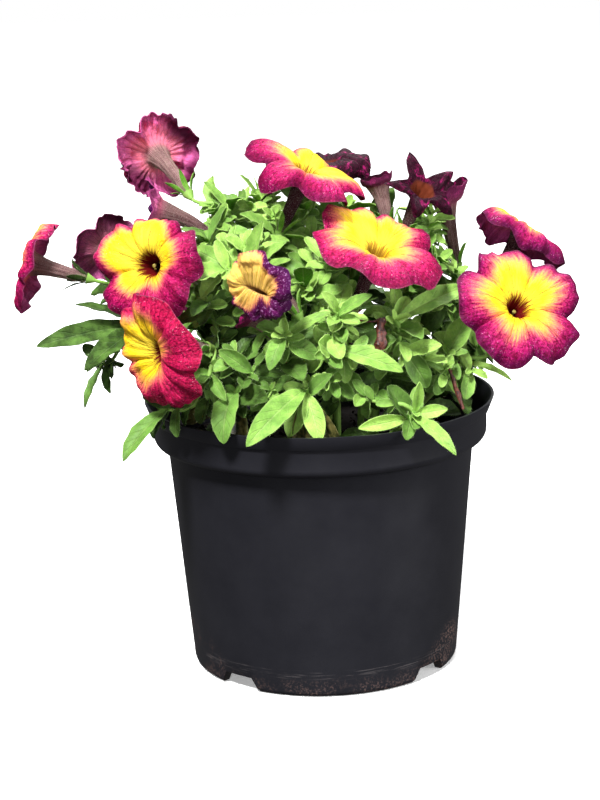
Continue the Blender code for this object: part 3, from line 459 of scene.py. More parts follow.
class Piece:
    """A piece of the scene, gathered from parts and then finished in the row frame."""

    def __init__(self, name: str, slot: str, *replaces: str) -> None:
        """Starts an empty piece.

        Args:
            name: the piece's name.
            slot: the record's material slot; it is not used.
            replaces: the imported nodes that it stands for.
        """
        self.name = name
        self.slot = slot
        self.replaces = replaces
        self.bm = bmesh.new()
        self.materials: list[Material] = []

    def index_of(self, material: Material) -> int:
        """The piece's index of a material, which is added if it is new."""
        if material not in self.materials:
            self.materials.append(material)
        return self.materials.index(material)

    def add(self, part: BMesh, *materials: Material) -> None:
        """Joins a part to the piece and frees it.

        Args:
            part: the part, whose faces' material indices count in the given materials.
            materials: the part's materials.
        """
        indices = [self.index_of(material) for material in materials]
        for face in part.faces:
            face.material_index = indices[min(face.material_index, len(indices) - 1)]
        mesh = mesh_of(part, "part")
        self.bm.from_mesh(mesh)
        bpy.data.meshes.remove(mesh)

    def finish(self, smooth: float) -> None:
        """Makes the object, in the row frame, and hands it to the frame.

        Args:
            smooth: edges sharper than this many degrees stay sharp.
        """
        ops.translate(self.bm, verts=self.bm.verts[:], vec=POT_AXIS)
        mesh = mesh_of(self.bm, self.name)
        for material in self.materials:
            mesh.materials.append(material)
        mesh.shade_smooth()
        mesh.set_sharp_from_angle(angle=radians(smooth))
        obj = linked(self.name, mesh)
        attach(obj, BODY)
        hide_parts(*self.replaces)
        mesh.calc_loop_triangles()
        LOG.info("%s: %d triangles", self.name, len(mesh.loop_triangles))


# finishes


class Recipe:
    """A material under construction: each method adds one step and gives its output."""

    def __init__(self, name: str) -> None:
        """Starts a material with its usual shader."""
        self.material = bpy.data.materials.new(name)
        self.material.use_nodes = True
        self.tree = self.material.node_tree
        self.shader = self.tree.nodes["Principled BSDF"]

    def feed(self, socket: Any, value: Any) -> None:
        """Links an output into a socket, or sets the socket to a value."""
        if isinstance(value, bpy.types.NodeSocket):
            self.tree.links.new(value, socket)
        else:
            socket.default_value = value

    def node(self, kind: str, inputs: Optional[dict[Any, Any]] = None, **settings: Any) -> Any:
        """A new node with its settings and inputs."""
        made = set_up(self.tree.nodes.new(kind), **settings)
        for key, value in (inputs or {}).items():
            self.feed(made.inputs[key], value)
        return made

    def math(self, operation: str, first: Any, *others: Any) -> Any:
        """A number on which an operation is done with each of the others in turn."""
        made = first
        for other in others:
            made = self.node("ShaderNodeMath", {0: made, 1: other}, operation=operation).outputs[0]
        return made

    def times(self, *values: Any) -> Any:
        """The product of some numbers."""
        return self.math("MULTIPLY", *values)

    def plus(self, *values: Any) -> Any:
        """The sum of some numbers."""
        return self.math("ADD", *values)

    def minus(self, first: Any, second: Any) -> Any:
        """The first number less the second."""
        return self.math("SUBTRACT", first, second)

    def step(self, value: Any, low: float, high: float) -> Any:
        """A smooth step of a number, 0 at low and 1 at high, or the other way round if low is more."""
        turned_round = low > high
        made = self.node("ShaderNodeMapRange", {0: value, 1: min(low, high), 2: max(low, high),
                                                3: float(turned_round), 4: float(not turned_round)},
                         interpolation_type="SMOOTHSTEP")
        return made.outputs[0]

    def mix(self, part: Any, first: Any, second: Any) -> Any:
        """A blend of two colours, each an output or a screen colour."""
        first, second = (srgb(*colour) if isinstance(colour, tuple) else colour for colour in (first, second))
        return self.node("ShaderNodeMix", {0: part, 6: first, 7: second}, data_type="RGBA").outputs[2]

    def lay(self, under: Any, over: Any, *shares: Any) -> Any:
        """A colour laid over another one, by the product of some shares."""
        return self.mix(self.times(*shares), under, over)

    def coats(self, base: Any, *rows: tuple[Any, ...]) -> Any:
        """A colour under some coats, each a row of its colour and its shares."""
        for row in rows:
            base = self.lay(base, *row)
        return base

    def ramp(self, value: Any, stops: Sequence[tuple[float, Rgb]]) -> Any:
        """A colour from a number, by stops of (place, screen colour)."""
        made = self.node("ShaderNodeValToRGB", {0: value})
        elements = made.color_ramp.elements
        while len(elements) < len(stops):
            elements.new(0.5)
        for element, (where, _) in zip(elements, stops):
            element.position = where
        for element, (_, colour) in zip(elements, stops):
            element.color = srgb(*colour)
        return made.outputs[0]

    def object_place(self) -> Any:
        """The place on the object, in metres."""
        return self.node("ShaderNodeTexCoord").outputs["Object"]

    def field(self, name: str, kind: str = "Vector") -> Any:
        """A field that the mesh carries: a vector, or a number with the kind "Fac"."""
        return self.node("ShaderNodeAttribute", attribute_name=name).outputs[kind]

    def split(self, vector: Any) -> tuple[Any, ...]:
        """A vector's three parts."""
        return tuple(self.node("ShaderNodeSeparateXYZ", {0: vector}).outputs)

    def off(self, value: Any, middle: float) -> Any:
        """How far a number is from a middle, on either side."""
        return self.math("ABSOLUTE", self.minus(value, middle), 0.0)

    def scaled(self, vector: Any, scale: Point) -> Any:
        """A vector scaled by its parts."""
        return self.node("ShaderNodeVectorMath", {0: vector, 1: scale}, operation="MULTIPLY").outputs[0]

    def noise(self, vector: Any, scale: float, detail: float = 2.0, rough: float = 0.5,
              distortion: float = 0.0) -> Any:
        """Cloudy noise from 0 to 1."""
        return self.node("ShaderNodeTexNoise", {"Vector": vector, "Scale": scale, "Detail": detail,
                                                "Roughness": rough, "Distortion": distortion}).outputs[0]

    def cells(self, vector: Any, scale: float) -> Any:
        """How far a point is from the borders of random cells."""
        return self.node("ShaderNodeTexVoronoi", {"Vector": vector, "Scale": scale},
                         feature="DISTANCE_TO_EDGE").outputs["Distance"]

    def bump(self, height: Any, strength: float, distance: float) -> None:
        """Gives the surface relief from a height."""
        made = self.node("ShaderNodeBump", {"Height": height, "Strength": strength,
                                            "Distance": distance})
        self.feed(self.shader.inputs["Normal"], made.outputs[0])

    def surface(self, colour: Any, roughness: Any, specular: float) -> Material:
        """Sets the surface's colour and gloss, and gives the material."""
        self.feed(self.shader.inputs["Base Color"], colour)
        self.feed(self.shader.inputs["Roughness"], roughness)
        self.shader.inputs["Specular IOR Level"].default_value = specular
        return self.material

    def let_light_through(self, colour: Any, share: float) -> None:
        """Lets a share of the light through the surface, as leaves and petals do."""
        through = self.node("ShaderNodeBsdfTranslucent", {"Color": colour})
        both = self.node("ShaderNodeMixShader", {0: share, 1: self.shader.outputs[0],
                                                 2: through.outputs[0]})
        self.feed(self.tree.nodes["Material Output"].inputs["Surface"], both.outputs[0])


@dataclass(frozen=True)
class PotPlastic:
    """Black moulded plastic with a faint grain, fine scratches, and soil dust near the ground."""

    dark: Rgb = (23, 23, 28)
    pale: Rgb = (35, 35, 40)
    scratched: Rgb = (110, 104, 104)
    dust: Rgb = (146, 116, 106)
    roughness: float = 0.31

    def material(self) -> Material:
        """The plastic as a material."""
        r = Recipe("pot_plastic")
        where = r.object_place()
        x, _, z = r.split(where)
        cloud = r.noise(where, 45, 4, 0.6)
        grain = r.noise(where, 2600, 2, 0.6)
        scratch = r.noise(r.scaled(where, (60, 60, 1500)), 1, 3, 0.6)
        rubbed = r.step(r.off(z, 0.0115), 0.003, 0.0008)
        sides = r.step(r.off(x, POT_AXIS.x), 0.042, 0.064)
        low = r.step(r.minus(z, r.times(sides, 0.018)), 0.012, 0.001)
        specks = r.step(r.noise(where, 800, 4, 0.75), 0.50, 0.62)
        smears = r.step(r.noise(where, 48, 2), 0.36, 0.58)
        dirt = r.times(low, r.plus(r.times(sides, 0.5), 0.5), specks, smears)
        base = r.mix(cloud, self.dark, self.pale)
        base = r.lay(base, self.scratched, rubbed, r.step(scratch, 0.52, 0.68), 0.4)
        base = r.lay(base, self.dust, dirt, 0.6)
        rough = r.plus(r.times(cloud, 0.14), r.times(dirt, 0.4), self.roughness)
        r.bump(r.plus(grain, r.times(dirt, 2.0)), 0.25, 0.00012)
        return r.surface(base, rough, specular=0.26)


@dataclass(frozen=True)
class PeatFinish:
    """Dark peat and bark: brown clods with paler fibres."""

    dark: Rgb = (14, 10, 8)
    brown: Rgb = (32, 24, 19)
    pale: Rgb = (88, 70, 52)

    def material(self, name: str, lift: float) -> Material:
        """The mix as a material.

        Args:
            name: the material's name.
            lift: how much paler than the bed it is, from 0 to 1.

        Returns:
            The material.
        """
        r = Recipe(name)
        where = r.object_place()
        clods = r.noise(where, 320, 5, 0.65)
        fibres = r.step(r.noise(r.scaled(where, (400, 2200, 900)), 1, 2, 0.5, 1.2), 0.6, 0.72)
        base = r.ramp(clods, ((0.3, self.dark), (0.75, self.brown)))
        base = r.lay(base, self.brown, lift * 0.5)
        base = r.lay(base, self.pale, fibres, 0.25 + 0.4 * lift)
        r.bump(clods, 0.8, 0.0006)
        return r.surface(base, 0.93, specular=0.2)


@dataclass(frozen=True)
class LeafFinish:
    """A soft, hairy leaf: pale midrib and side veins, pale edge, mottled green."""

    old: Rgb = (42, 48, 20)
    middle: Rgb = (78, 140, 28)
    young: Rgb = (158, 208, 78)
    vein: Rgb = (190, 222, 130)
    old_vein: Rgb = (50, 78, 34)
    under: bool = False
    through: float = 0.14

    def material(self) -> Material:
        """The leaf's surface as a material, which reads the mesh's field "blade", whose tone carries painted
        shade as well as the leaf's own tone.
        """
        r = Recipe("leaf_underside" if self.under else "leaf_face")
        along, across, tone = r.split(r.field("blade"))
        where = r.object_place()
        side = r.off(across, 0.0)
        wobble = r.times(r.minus(r.noise(where, 300, 2), 0.5), 1.98)
        phase = r.plus(r.times(along, 44.0), r.times(side, -9.0), wobble)
        ribs = r.times(r.step(r.math("SINE", phase, 0.0), 0.8, 1.0), r.step(side, 0.95, 0.55))
        midrib = r.step(side, 0.11, 0.03)
        edge = r.step(side, 0.86, 1.0)
        mottle = r.noise(where, 900, 3, 0.65)
        net = r.step(r.cells(where, 900), 0.12, 0.02)
        patch = r.noise(where, 150, 3, 0.6)
        tone = r.plus(tone, r.times(r.minus(patch, 0.5), 0.9))
        # A low tone is an old leaf and also painted shade inside the plant, so the ramp's dark end and the
        # darker veins paint shade too.
        base = r.ramp(tone, ((0.0, self.old), (0.5, self.middle), (1.0, self.young)))
        base = r.lay(base, (60, 100, 32), r.step(mottle, 0.62, 0.36), 0.4)
        fuzz = r.step(r.noise(where, 2400, 2, 0.6), 0.6, 0.7)
        pale = r.mix(tone, self.old_vein, self.vein)
        for pattern, amount in ((net, 0.12), (ribs, 0.2), (midrib, 0.5), (edge, 0.4), (fuzz, 0.16)):
            base = r.lay(base, pale, pattern, amount)
        if self.under:
            base = r.mix(0.35, base, pale)
        r.bump(r.plus(r.times(mottle, 0.5), r.times(ribs, -0.7), r.times(midrib, -1.0)), 0.7, 0.0005)
        r.let_light_through(r.lay(base, (150, 204, 34), tone, 0.5), self.through)
        return r.surface(base, 0.46, specular=0.14)


@dataclass(frozen=True)
class StemFinish:
    """A green stem, reddish here and there, with fine lengthways streaks."""

    green: Rgb = (138, 180, 84)
    red: Rgb = (112, 66, 54)

    def material(self) -> Material:
        """The stem as a material."""
        r = Recipe("stem_green")
        where = r.object_place()
        patch = r.step(r.noise(where, 60, 2), 0.5, 0.72)
        streak = r.noise(r.scaled(where, (1500, 1500, 160)), 1, 3)
        base = r.mix(r.times(patch, 0.55), self.green, self.red)
        base = r.lay(base, (74, 110, 48), streak, 0.5)
        r.bump(streak, 0.4, 0.0002)
        return r.surface(base, 0.5, specular=0.2)


@dataclass(frozen=True)
class SpeckledFinish:
    """A small part's finish, speckled between two colours: hairs, pistils and dry remains."""

    name: str
    colour: Rgb
    other: Rgb
    roughness: float = 0.5
    scale: float = 700

    def material(self) -> Material:
        """The finish as a material."""
        r = Recipe(self.name)
        grain = r.noise(r.object_place(), self.scale, 3, 0.6)
        r.bump(grain, 0.5, 0.0002)
        base = r.mix(r.step(grain, 0.36, 0.64), self.colour, self.other)
        return r.surface(base, self.roughness, specular=0.3)


class PetalRecipe(Recipe):
    """A petal's material under construction, with the fields that a corolla's mesh carries."""

    def __init__(self, name: str) -> None:
        """Reads the fields and works out the patterns that both sides of a petal share."""
        super().__init__(name)
        self.disc = self.field("round")
        self.cx, self.cy, self.part = self.split(self.disc)
        self.where = self.object_place()
        self.age, self.tone, self.ribs = self.split(self.field("look"))
        self.cool, self.blush, self.shade = self.split(self.field("tint"))
        self.wobble = self.minus(self.noise(self.scaled(self.disc, (3, 3, 5)), 1.6, 3), 0.5)
        bent = self.times(self.wobble, 0.16)
        self.angle = self.plus(self.math("ARCTAN2", self.cy, self.cx), bent)
        self.speck = self.noise(self.where, 1500, 2, 0.7)
        self.cloud = self.noise(self.where, 220, 4, 0.65)

    def spokes(self, count: float, width: float) -> Any:
        """Thin dark lines from the throat outwards, count of them to a half turn."""
        wave = self.off(self.math("SINE", self.times(self.angle, count), 0.0), 0.0)
        return self.step(self.times(wave, self.part), width, width * 0.2)

    def network(self, scale: float, width: float) -> Any:
        """A network of veins, drawn out along the petal."""
        warped = self.node("ShaderNodeVectorMath", {0: self.scaled(self.disc, (9, 9, 4.4)), 1: self.wobble},
                           operation="ADD").outputs[0]
        return self.step(self.cells(warped, scale), width, width * 0.15)

    def streaks(self) -> Any:
        """Fine fibres along the petal, from 0 to 1."""
        return self.noise(self.scaled(self.disc, (26, 26, 1.6)), 1.0, 3, 0.6)


@dataclass(frozen=True)
class PetalFace:
    """The face of a petal: a yellow heart that runs through orange and pink to a magenta rim."""

    stops: tuple[tuple[float, Rgb], ...] = (
        (0.0, (64, 2, 42)), (0.12, (116, 6, 70)), (0.30, (184, 12, 94)), (0.44, (214, 44, 106)),
        (0.54, (238, 116, 104)), (0.65, (250, 172, 78)), (0.78, (255, 214, 26)), (0.96, (255, 228, 60)))
    purple: Rgb = (122, 10, 92)
    closing: Rgb = (44, 2, 24)
    faded: Rgb = (240, 190, 118)

    def material(self) -> Material:
        """The face as a material, which reads the fields "round", "heart", "look" and "tint"."""
        r = PetalRecipe("petal_face")
        part, heart = r.part, r.field("heart", "Fac")
        streak = r.minus(r.streaks(), 0.5)
        net, fine = r.network(1.6, 0.11), r.network(4.2, 0.16)
        main, ribs = r.spokes(5.0, 0.10), r.spokes(14.0, 0.42)
        for amount, field in ((0.3, streak), (0.14, r.minus(r.cloud, 0.5)),
                              (0.10, r.minus(r.speck, 0.5))):
            heart = r.plus(heart, r.times(field, amount))
        outer = r.step(heart, 0.60, 0.40)
        grain = r.noise(r.where, 820, 3, 0.75)
        grained = r.plus(grain, r.times(streak, 0.15))
        ribbed = r.times(ribs, r.ribs, r.step(part, 1.8, 1.2))
        # Painted highlights: small white glints painted into the petal's colour.
        painted_glint = r.step(r.noise(r.where, 2000, 1, 0.5), 0.67, 0.74)
        depth = r.plus(part, r.times(streak, -0.9))
        throat = r.plus(r.times(r.ribs, 1.2), 0.5)
        # Closing blooms: dark maroon with lighter magenta patches, partly mottling and partly painted sheen.
        aged_with_painted_sheen = r.coats(r.mix(r.step(r.cloud, 0.50, 0.70), self.closing, (150, 22, 92)),
                       ((22, 1, 10), net), ((112, 50, 30), r.step(part, 1.12, 0.94)))
        half = r.times(r.step(r.age, 0.0, 0.4), r.step(r.age, 0.9, 0.5))
        dusk = r.times(half, r.step(heart, 0.64, 0.46))
        base = r.coats(
            r.ramp(heart, self.stops),
            ((126, 4, 62), outer, r.step(r.cloud, 0.52, 0.34)),
            ((208, 24, 70), outer, r.minus(0.36, r.times(r.cool, 0.4))),
            (self.purple, outer, r.cool, r.step(r.cloud, 0.30, 0.62), 0.7),
            ((240, 78, 146), outer, r.step(grained, 0.54, 0.68), 0.3),
            ((96, 2, 44), outer, r.step(grained, 0.48, 0.40), 0.88),
            ((104, 8, 40), net, r.plus(r.times(outer, 0.34), 0.1)),
            ((112, 10, 40), fine, 0.12),
            ((134, 34, 40), ribbed, 0.6),
            ((96, 10, 34), main, r.step(part, 1.95, 1.3), 0.8),
            # Painted highlight: white glints on the outer lobes.
            ((255, 214, 230), painted_glint, r.step(part, 1.25, 1.9), r.step(r.cloud, 0.46, 0.62), 0.75),
            ((238, 150, 176), r.step(part, 1.97, 1.995), 0.12),
            ((66, 2, 44), r.step(heart, 0.26, 0.02), r.plus(r.times(r.cool, 0.6), 0.2)),
            ((110, 12, 16), r.step(depth, 1.08, 0.94), throat),
            # Near-black deep inside the funnel: partly the throat's own dark colour, partly painted shade in
            # the recess.
            ((30, 3, 8), r.step(part, 0.72, 0.52)),
            (aged_with_painted_sheen, r.step(r.age, 0.5, 1.0)),
            ((62, 10, 66), dusk, 0.85),
            ((206, 150, 206), dusk, r.step(grain, 0.56, 0.66), 0.55),
            (self.faded, half, r.step(heart, 0.5, 0.66), r.step(ribbed, 0.7, 0.1), 0.65))
        relief = r.plus(r.times(net, -0.9), r.times(r.speck, 0.9), r.times(main, -1.2), r.times(streak, 0.9))
        r.bump(relief, 0.7, 0.0004)
        r.let_light_through(base, 0.12)
        return r.surface(base, 0.55, specular=0.1)


@dataclass(frozen=True)
class PetalBack:
    """The back of a petal and its tube: dull rose with dark veins, the tube streaked lengthways."""

    dark: Rgb = (112, 10, 58)
    pink: Rgb = (255, 130, 200)
    purple: Rgb = (160, 20, 122)
    rim: Rgb = (92, 8, 48)
    salmon: Rgb = (255, 158, 168)
    pale_tube: Rgb = (188, 148, 144)
    dark_tube: Rgb = (66, 18, 36)

    def material(self) -> Material:
        """The back as a material, which reads the fields "round", "look" and "tint"."""
        r = PetalRecipe("petal_back")
        streak = r.minus(r.streaks(), 0.5)
        net, veins = r.network(1.6, 0.12), r.spokes(12.0, 0.45)
        root = r.step(r.plus(r.part, r.times(streak, 0.8)), 1.75, 1.0)
        limb = r.coats(
            r.mix(r.blush, self.dark, self.pink),
            (self.purple, r.cool, 0.55),
            (self.dark, r.step(r.cloud, 0.46, 0.30), r.minus(0.5, r.times(r.blush, 0.35))),
            (self.salmon, root, r.blush, 0.65),
            (self.rim, r.step(r.part, 1.72, 1.98), r.minus(0.85, r.times(r.blush, 0.6))),
            ((128, 20, 62), veins, 0.3),
            ((104, 10, 54), net, 0.24),
            ((240, 168, 196), r.step(r.speck, 0.58, 0.74), 0.3),
            # Painted shade: darker maroon where folds and pockets of the back would lie in shadow.
            (r.mix(r.cloud, (48, 2, 30), (108, 12, 62)), r.shade, 0.9))
        stripe = r.step(r.plus(streak, r.times(r.cloud, 0.3)), 0.12, 0.22)
        fuzz = r.noise(r.where, 2600, 2, 0.6)
        tube = r.coats(
            r.mix(r.tone, self.dark_tube, self.pale_tube),
            ((78, 30, 44), stripe, 0.75),
            ((126, 140, 84), r.step(r.part, 0.2, 0.0), 0.6),
            ((222, 206, 198), r.step(fuzz, 0.56, 0.68), 0.5))
        # Closing blooms' backs: dark maroon with lighter magenta patches, partly mottling and partly painted
        # sheen.
        aged_with_painted_sheen = r.lay(r.mix(r.step(r.cloud, 0.44, 0.66), (82, 6, 46), (172, 34, 110)), (38, 2, 20), net)
        base = r.lay(r.mix(r.step(r.part, 0.88, 1.14), tube, limb), aged_with_painted_sheen, r.step(r.age, 0.5, 1.0),
                     r.step(r.part, 0.9, 1.2), r.minus(0.92, r.times(r.blush, 0.5)))
        relief = r.plus(r.times(net, 0.8), r.times(r.speck, 0.6), r.times(streak, 1.6), r.times(fuzz, 0.5))
        r.bump(relief, 0.7, 0.0004)
        r.let_light_through(base, 0.4)
        return r.surface(base, 0.55, specular=0.1)


@dataclass(frozen=True)
class FloorFinish:
    """A plain pale floor that brightens outwards, like the sweep of a studio backdrop."""

    def material(self) -> Material:
        """The floor as a material."""
        r = Recipe("studio_floor")
        where = r.object_place()
        cloud = r.noise(where, 3, 2)
        far = r.node("ShaderNodeVectorMath", {0: where}, operation="LENGTH").outputs["Value"]
        r.shader.inputs["Emission Color"].default_value = (1, 1, 1, 1)
        glow = r.plus(r.times(r.step(far, 0.15, 0.8), 0.6), 0.3)
        r.feed(r.shader.inputs["Emission Strength"], glow)
        return r.surface(r.mix(cloud, (241, 241, 241), (243, 243, 243)), 0.9, specular=0.1)


class Palette:
    """Every finish of the plant and the pot, made once."""

    def __init__(self) -> None:
        """Makes the materials."""
        self.plastic = PotPlastic().material()
        self.peat = PeatFinish().material("peat_bed", 0.0)
        self.crumb = PeatFinish().material("bark_crumb", 0.7)
        self.leaf = LeafFinish().material()
        self.under = LeafFinish(under=True).material()
        self.stem = StemFinish().material()
        self.hair = SpeckledFinish("pale_hair", (204, 218, 174), (150, 176, 118)).material()
        self.face = PetalFace().material()
        self.back = PetalBack().material()
        self.pistil = SpeckledFinish("pistil", (150, 138, 62), (104, 86, 34), scale=1500).material()
        self.dead_leaf = SpeckledFinish("dead_leaf", (40, 44, 20), (98, 92, 50), 0.3, 420).material()
        self.withered = SpeckledFinish("withered_petal", (40, 16, 18), (98, 52, 40), 0.45).material()


# pot and potting mix


@dataclass(frozen=True)
class NurseryPot:
    """The round tapered nursery pot: a thin wall with a stepped collar, a lip and four feet."""

    steps: int = 144
    height: float = 132 * MM
    rim: float = 85 * MM
    wall: float = 1.3 * MM
    lip_height: float = 6.5 * MM
    lip_flare: float = 2.5 * MM
    ledge: float = 1.2 * MM
    collar_height: float = 14 * MM
    collar_round: float = 4 * MM
    wall_top: float = 74.7 * MM
    wall_low: float = 65.6 * MM
    base_round: float = 3 * MM
    foot_flat: float = 2.2 * MM
    skirt: float = 8 * MM
    notches: int = 4
    notch_azimuth: float = radians(50)
    notch_height: float = 7 * MM
    notch_top: float = 16 * MM
    drain_radius: float = 4.5 * MM
    drain_ring: float = 46 * MM
    edge_round: float = 0.35 * MM

    def inner_wall(self) -> list[tuple[float, float]]:
        """The inner wall as (radius, height) points, from the floor to the rim."""
        collar_top = self.height - self.lip_height
        collar_end = collar_top - self.collar_height
        collar = self.rim - self.lip_flare - self.ledge
        floor = self.skirt + self.wall
        slope = (self.wall_top - self.wall_low) / (collar_end - self.base_round)
        return [
            (self.wall_low + slope * (floor - self.base_round) - self.wall, floor),
            (self.wall_top - self.wall, collar_end),
            (collar - self.wall, collar_end + self.collar_round),
            (collar - self.wall, collar_top),
            (self.rim - self.wall, self.height),
        ]

    def inner_radius(self, height: float) -> float:
        """The radius of the inner wall at a height."""
        wall = self.inner_wall()
        for (low_radius, low), (high_radius, high) in zip(wall, wall[1:]):
            if height <= high:
                return low_radius + (high_radius - low_radius) * (height - low) / (high - low)
        return wall[-1][0]

    def outline(self) -> list[tuple[float, float]]:
        """The whole wall as (radius, height) points: floor, inner wall, lip, outer wall, base."""
        collar_top = self.height - self.lip_height
        collar_end = collar_top - self.collar_height
        lip_low = self.rim - self.lip_flare
        collar = lip_low - self.ledge
        foot = self.wall_low - self.base_round - self.foot_flat
        quarter = [(1 - cos(turn), 1 - sin(turn)) for turn in map(radians, range(0, 91, 15))]
        shoulder = [(collar - self.collar_round * inward * 0.9, collar_end + self.collar_round * up)
                    for inward, up in quarter]
        shoulder[-1] = (self.wall_top, collar_end)
        heel = [(self.wall_low - self.base_round * inward, self.base_round * up) for inward, up in quarter]
        wall = [(self.wall_top + (self.wall_low - self.wall_top) * part / 8,
                 collar_end + (self.base_round - collar_end) * part / 8) for part in range(1, 8)]
        return ([(0, self.skirt + self.wall)] + self.inner_wall()
                + [(self.rim, self.height), (lip_low, collar_top), (collar, collar_top)]
                + shoulder + wall + heel + [(foot, 0), (foot, self.skirt), (0, self.skirt)])

    def cutter(self) -> Object:
        """The blanks that cut the arched notches and the drain holes."""
        bm = bmesh.new()
        for index in range(self.notches):
            azimuth = self.notch_azimuth + index * tau / self.notches
            turn = Matrix.Rotation(azimuth - pi / 2, 4, "Z")
            sunk = self.notch_top * cos(pi / 6) - self.notch_height
            skirt = Vector((self.wall_low - self.base_round / 2, 0, -sunk))
            blanks = ((turn @ Matrix.Translation(skirt) @ Matrix.Rotation(pi / 2, 4, "Y"),
                       self.notch_top, 14 * MM, 6),
                      (turn @ Matrix.Translation((self.drain_ring, 0, self.skirt)),
                       self.drain_radius, 6 * MM, 24))
            for matrix, radius, depth, sides in blanks:
                ops.create_cone(bm, cap_ends=True, segments=sides, radius1=radius, radius2=radius,
                                depth=depth, matrix=matrix)
        return linked("pot_cutter", mesh_of(bm, "pot_cutter"))

    def build(self, palette: Palette) -> None:
        """Builds the pot, cuts its feet and rounds its edges.

        Args:
            palette: the finishes.
        """
        bm = turned(self.outline(), self.steps)
        ops.recalc_face_normals(bm, faces=bm.faces[:])
        shell = linked("shell", mesh_of(bm, "shell"))
        cutter = self.cutter()
        set_up(shell.modifiers.new("cut", "BOOLEAN"), operation="DIFFERENCE", object=cutter)
        set_up(shell.modifiers.new("edges", "BEVEL"), width=self.edge_round, segments=2,
               limit_method="ANGLE", angle_limit=radians(38))
        piece = Piece("nursery_pot", "pot_plastic", "pot")
        piece.add(baked(shell), palette.plastic)
        discard(cutter)
        piece.finish(smooth=32)


@dataclass(frozen=True)
class PottingMix:
    """The peat and bark that fill the pot: a lumpy dome with loose crumbs on it."""

    pot: NurseryPot
    edge_height: float = 108 * MM
    dome: float = 5 * MM
    lump: float = 1.2 * MM
    phase: float = 5
    steps: int = 96
    rings: int = 30
    crumbs: int = 420

    def height(self, x: float, y: float) -> float:
        """The height of the surface, as the solid has it."""
        spread = hypot(x, y) / self.pot.inner_radius(self.edge_height)
        lump = sin(x / (7 * MM) + self.phase) * cos(y / (9 * MM)) + sin((x + y) / (13 * MM))
        return self.edge_height + self.dome * max(0.0, 1 - spread * spread) + self.lump * 0.5 * lump

    def build(self, palette: Palette) -> None:
        """Builds the bed and scatters the crumbs.

        Args:
            palette: the finishes.
        """
        floor = self.pot.skirt + self.pot.wall + 0.35 * MM
        edge = self.pot.inner_radius(self.edge_height) - 0.3 * MM
        top = [(edge * ring / self.rings, self.edge_height) for ring in range(self.rings + 1)]
        low = self.pot.inner_radius(floor) - 0.5 * MM
        bed = turned(top + [(low, floor), (0, floor)], self.steps)
        for vertex in bed.verts:
            if vertex.co.z > self.edge_height - MM:
                rough = noise.fractal(vertex.co / (3.2 * MM), 1.0, 2.0, 3)
                vertex.co.z = self.height(vertex.co.x, vertex.co.y) + 0.7 * MM * rough
        ops.recalc_face_normals(bed, faces=bed.faces[:])
        crumbs = bmesh.new()
        rng = Random("crumbs")
        for _ in range(self.crumbs):
            radius = (edge - 2.5 * MM) * sqrt(rng.random())
            turn = rng.uniform(0, tau)
            x, y = radius * cos(turn), radius * sin(turn)
            size = rng.uniform(0.7, 2.0) * MM
            pose = Quaternion((*(rng.gauss(0, 1) for _ in range(3)), 1)).normalized()
            matrix = (Matrix.Translation((x, y, self.height(x, y) + size * 0.25))
                      @ pose.to_matrix().to_4x4()
                      @ Matrix.Diagonal((1, rng.uniform(0.4, 0.8), rng.uniform(0.3, 0.6), 1)))
            ops.create_icosphere(crumbs, subdivisions=1, radius=size, matrix=matrix)
        for vertex in crumbs.verts:
            vertex.co += noise.noise_vector(vertex.co / (0.8 * MM)) * 0.25 * MM
        piece = Piece("potting_mix", "potting_mix", "soil")
        piece.add(bed, palette.peat)
        piece.add(crumbs, palette.crumb)
        piece.finish(smooth=50)


# stems and leaves


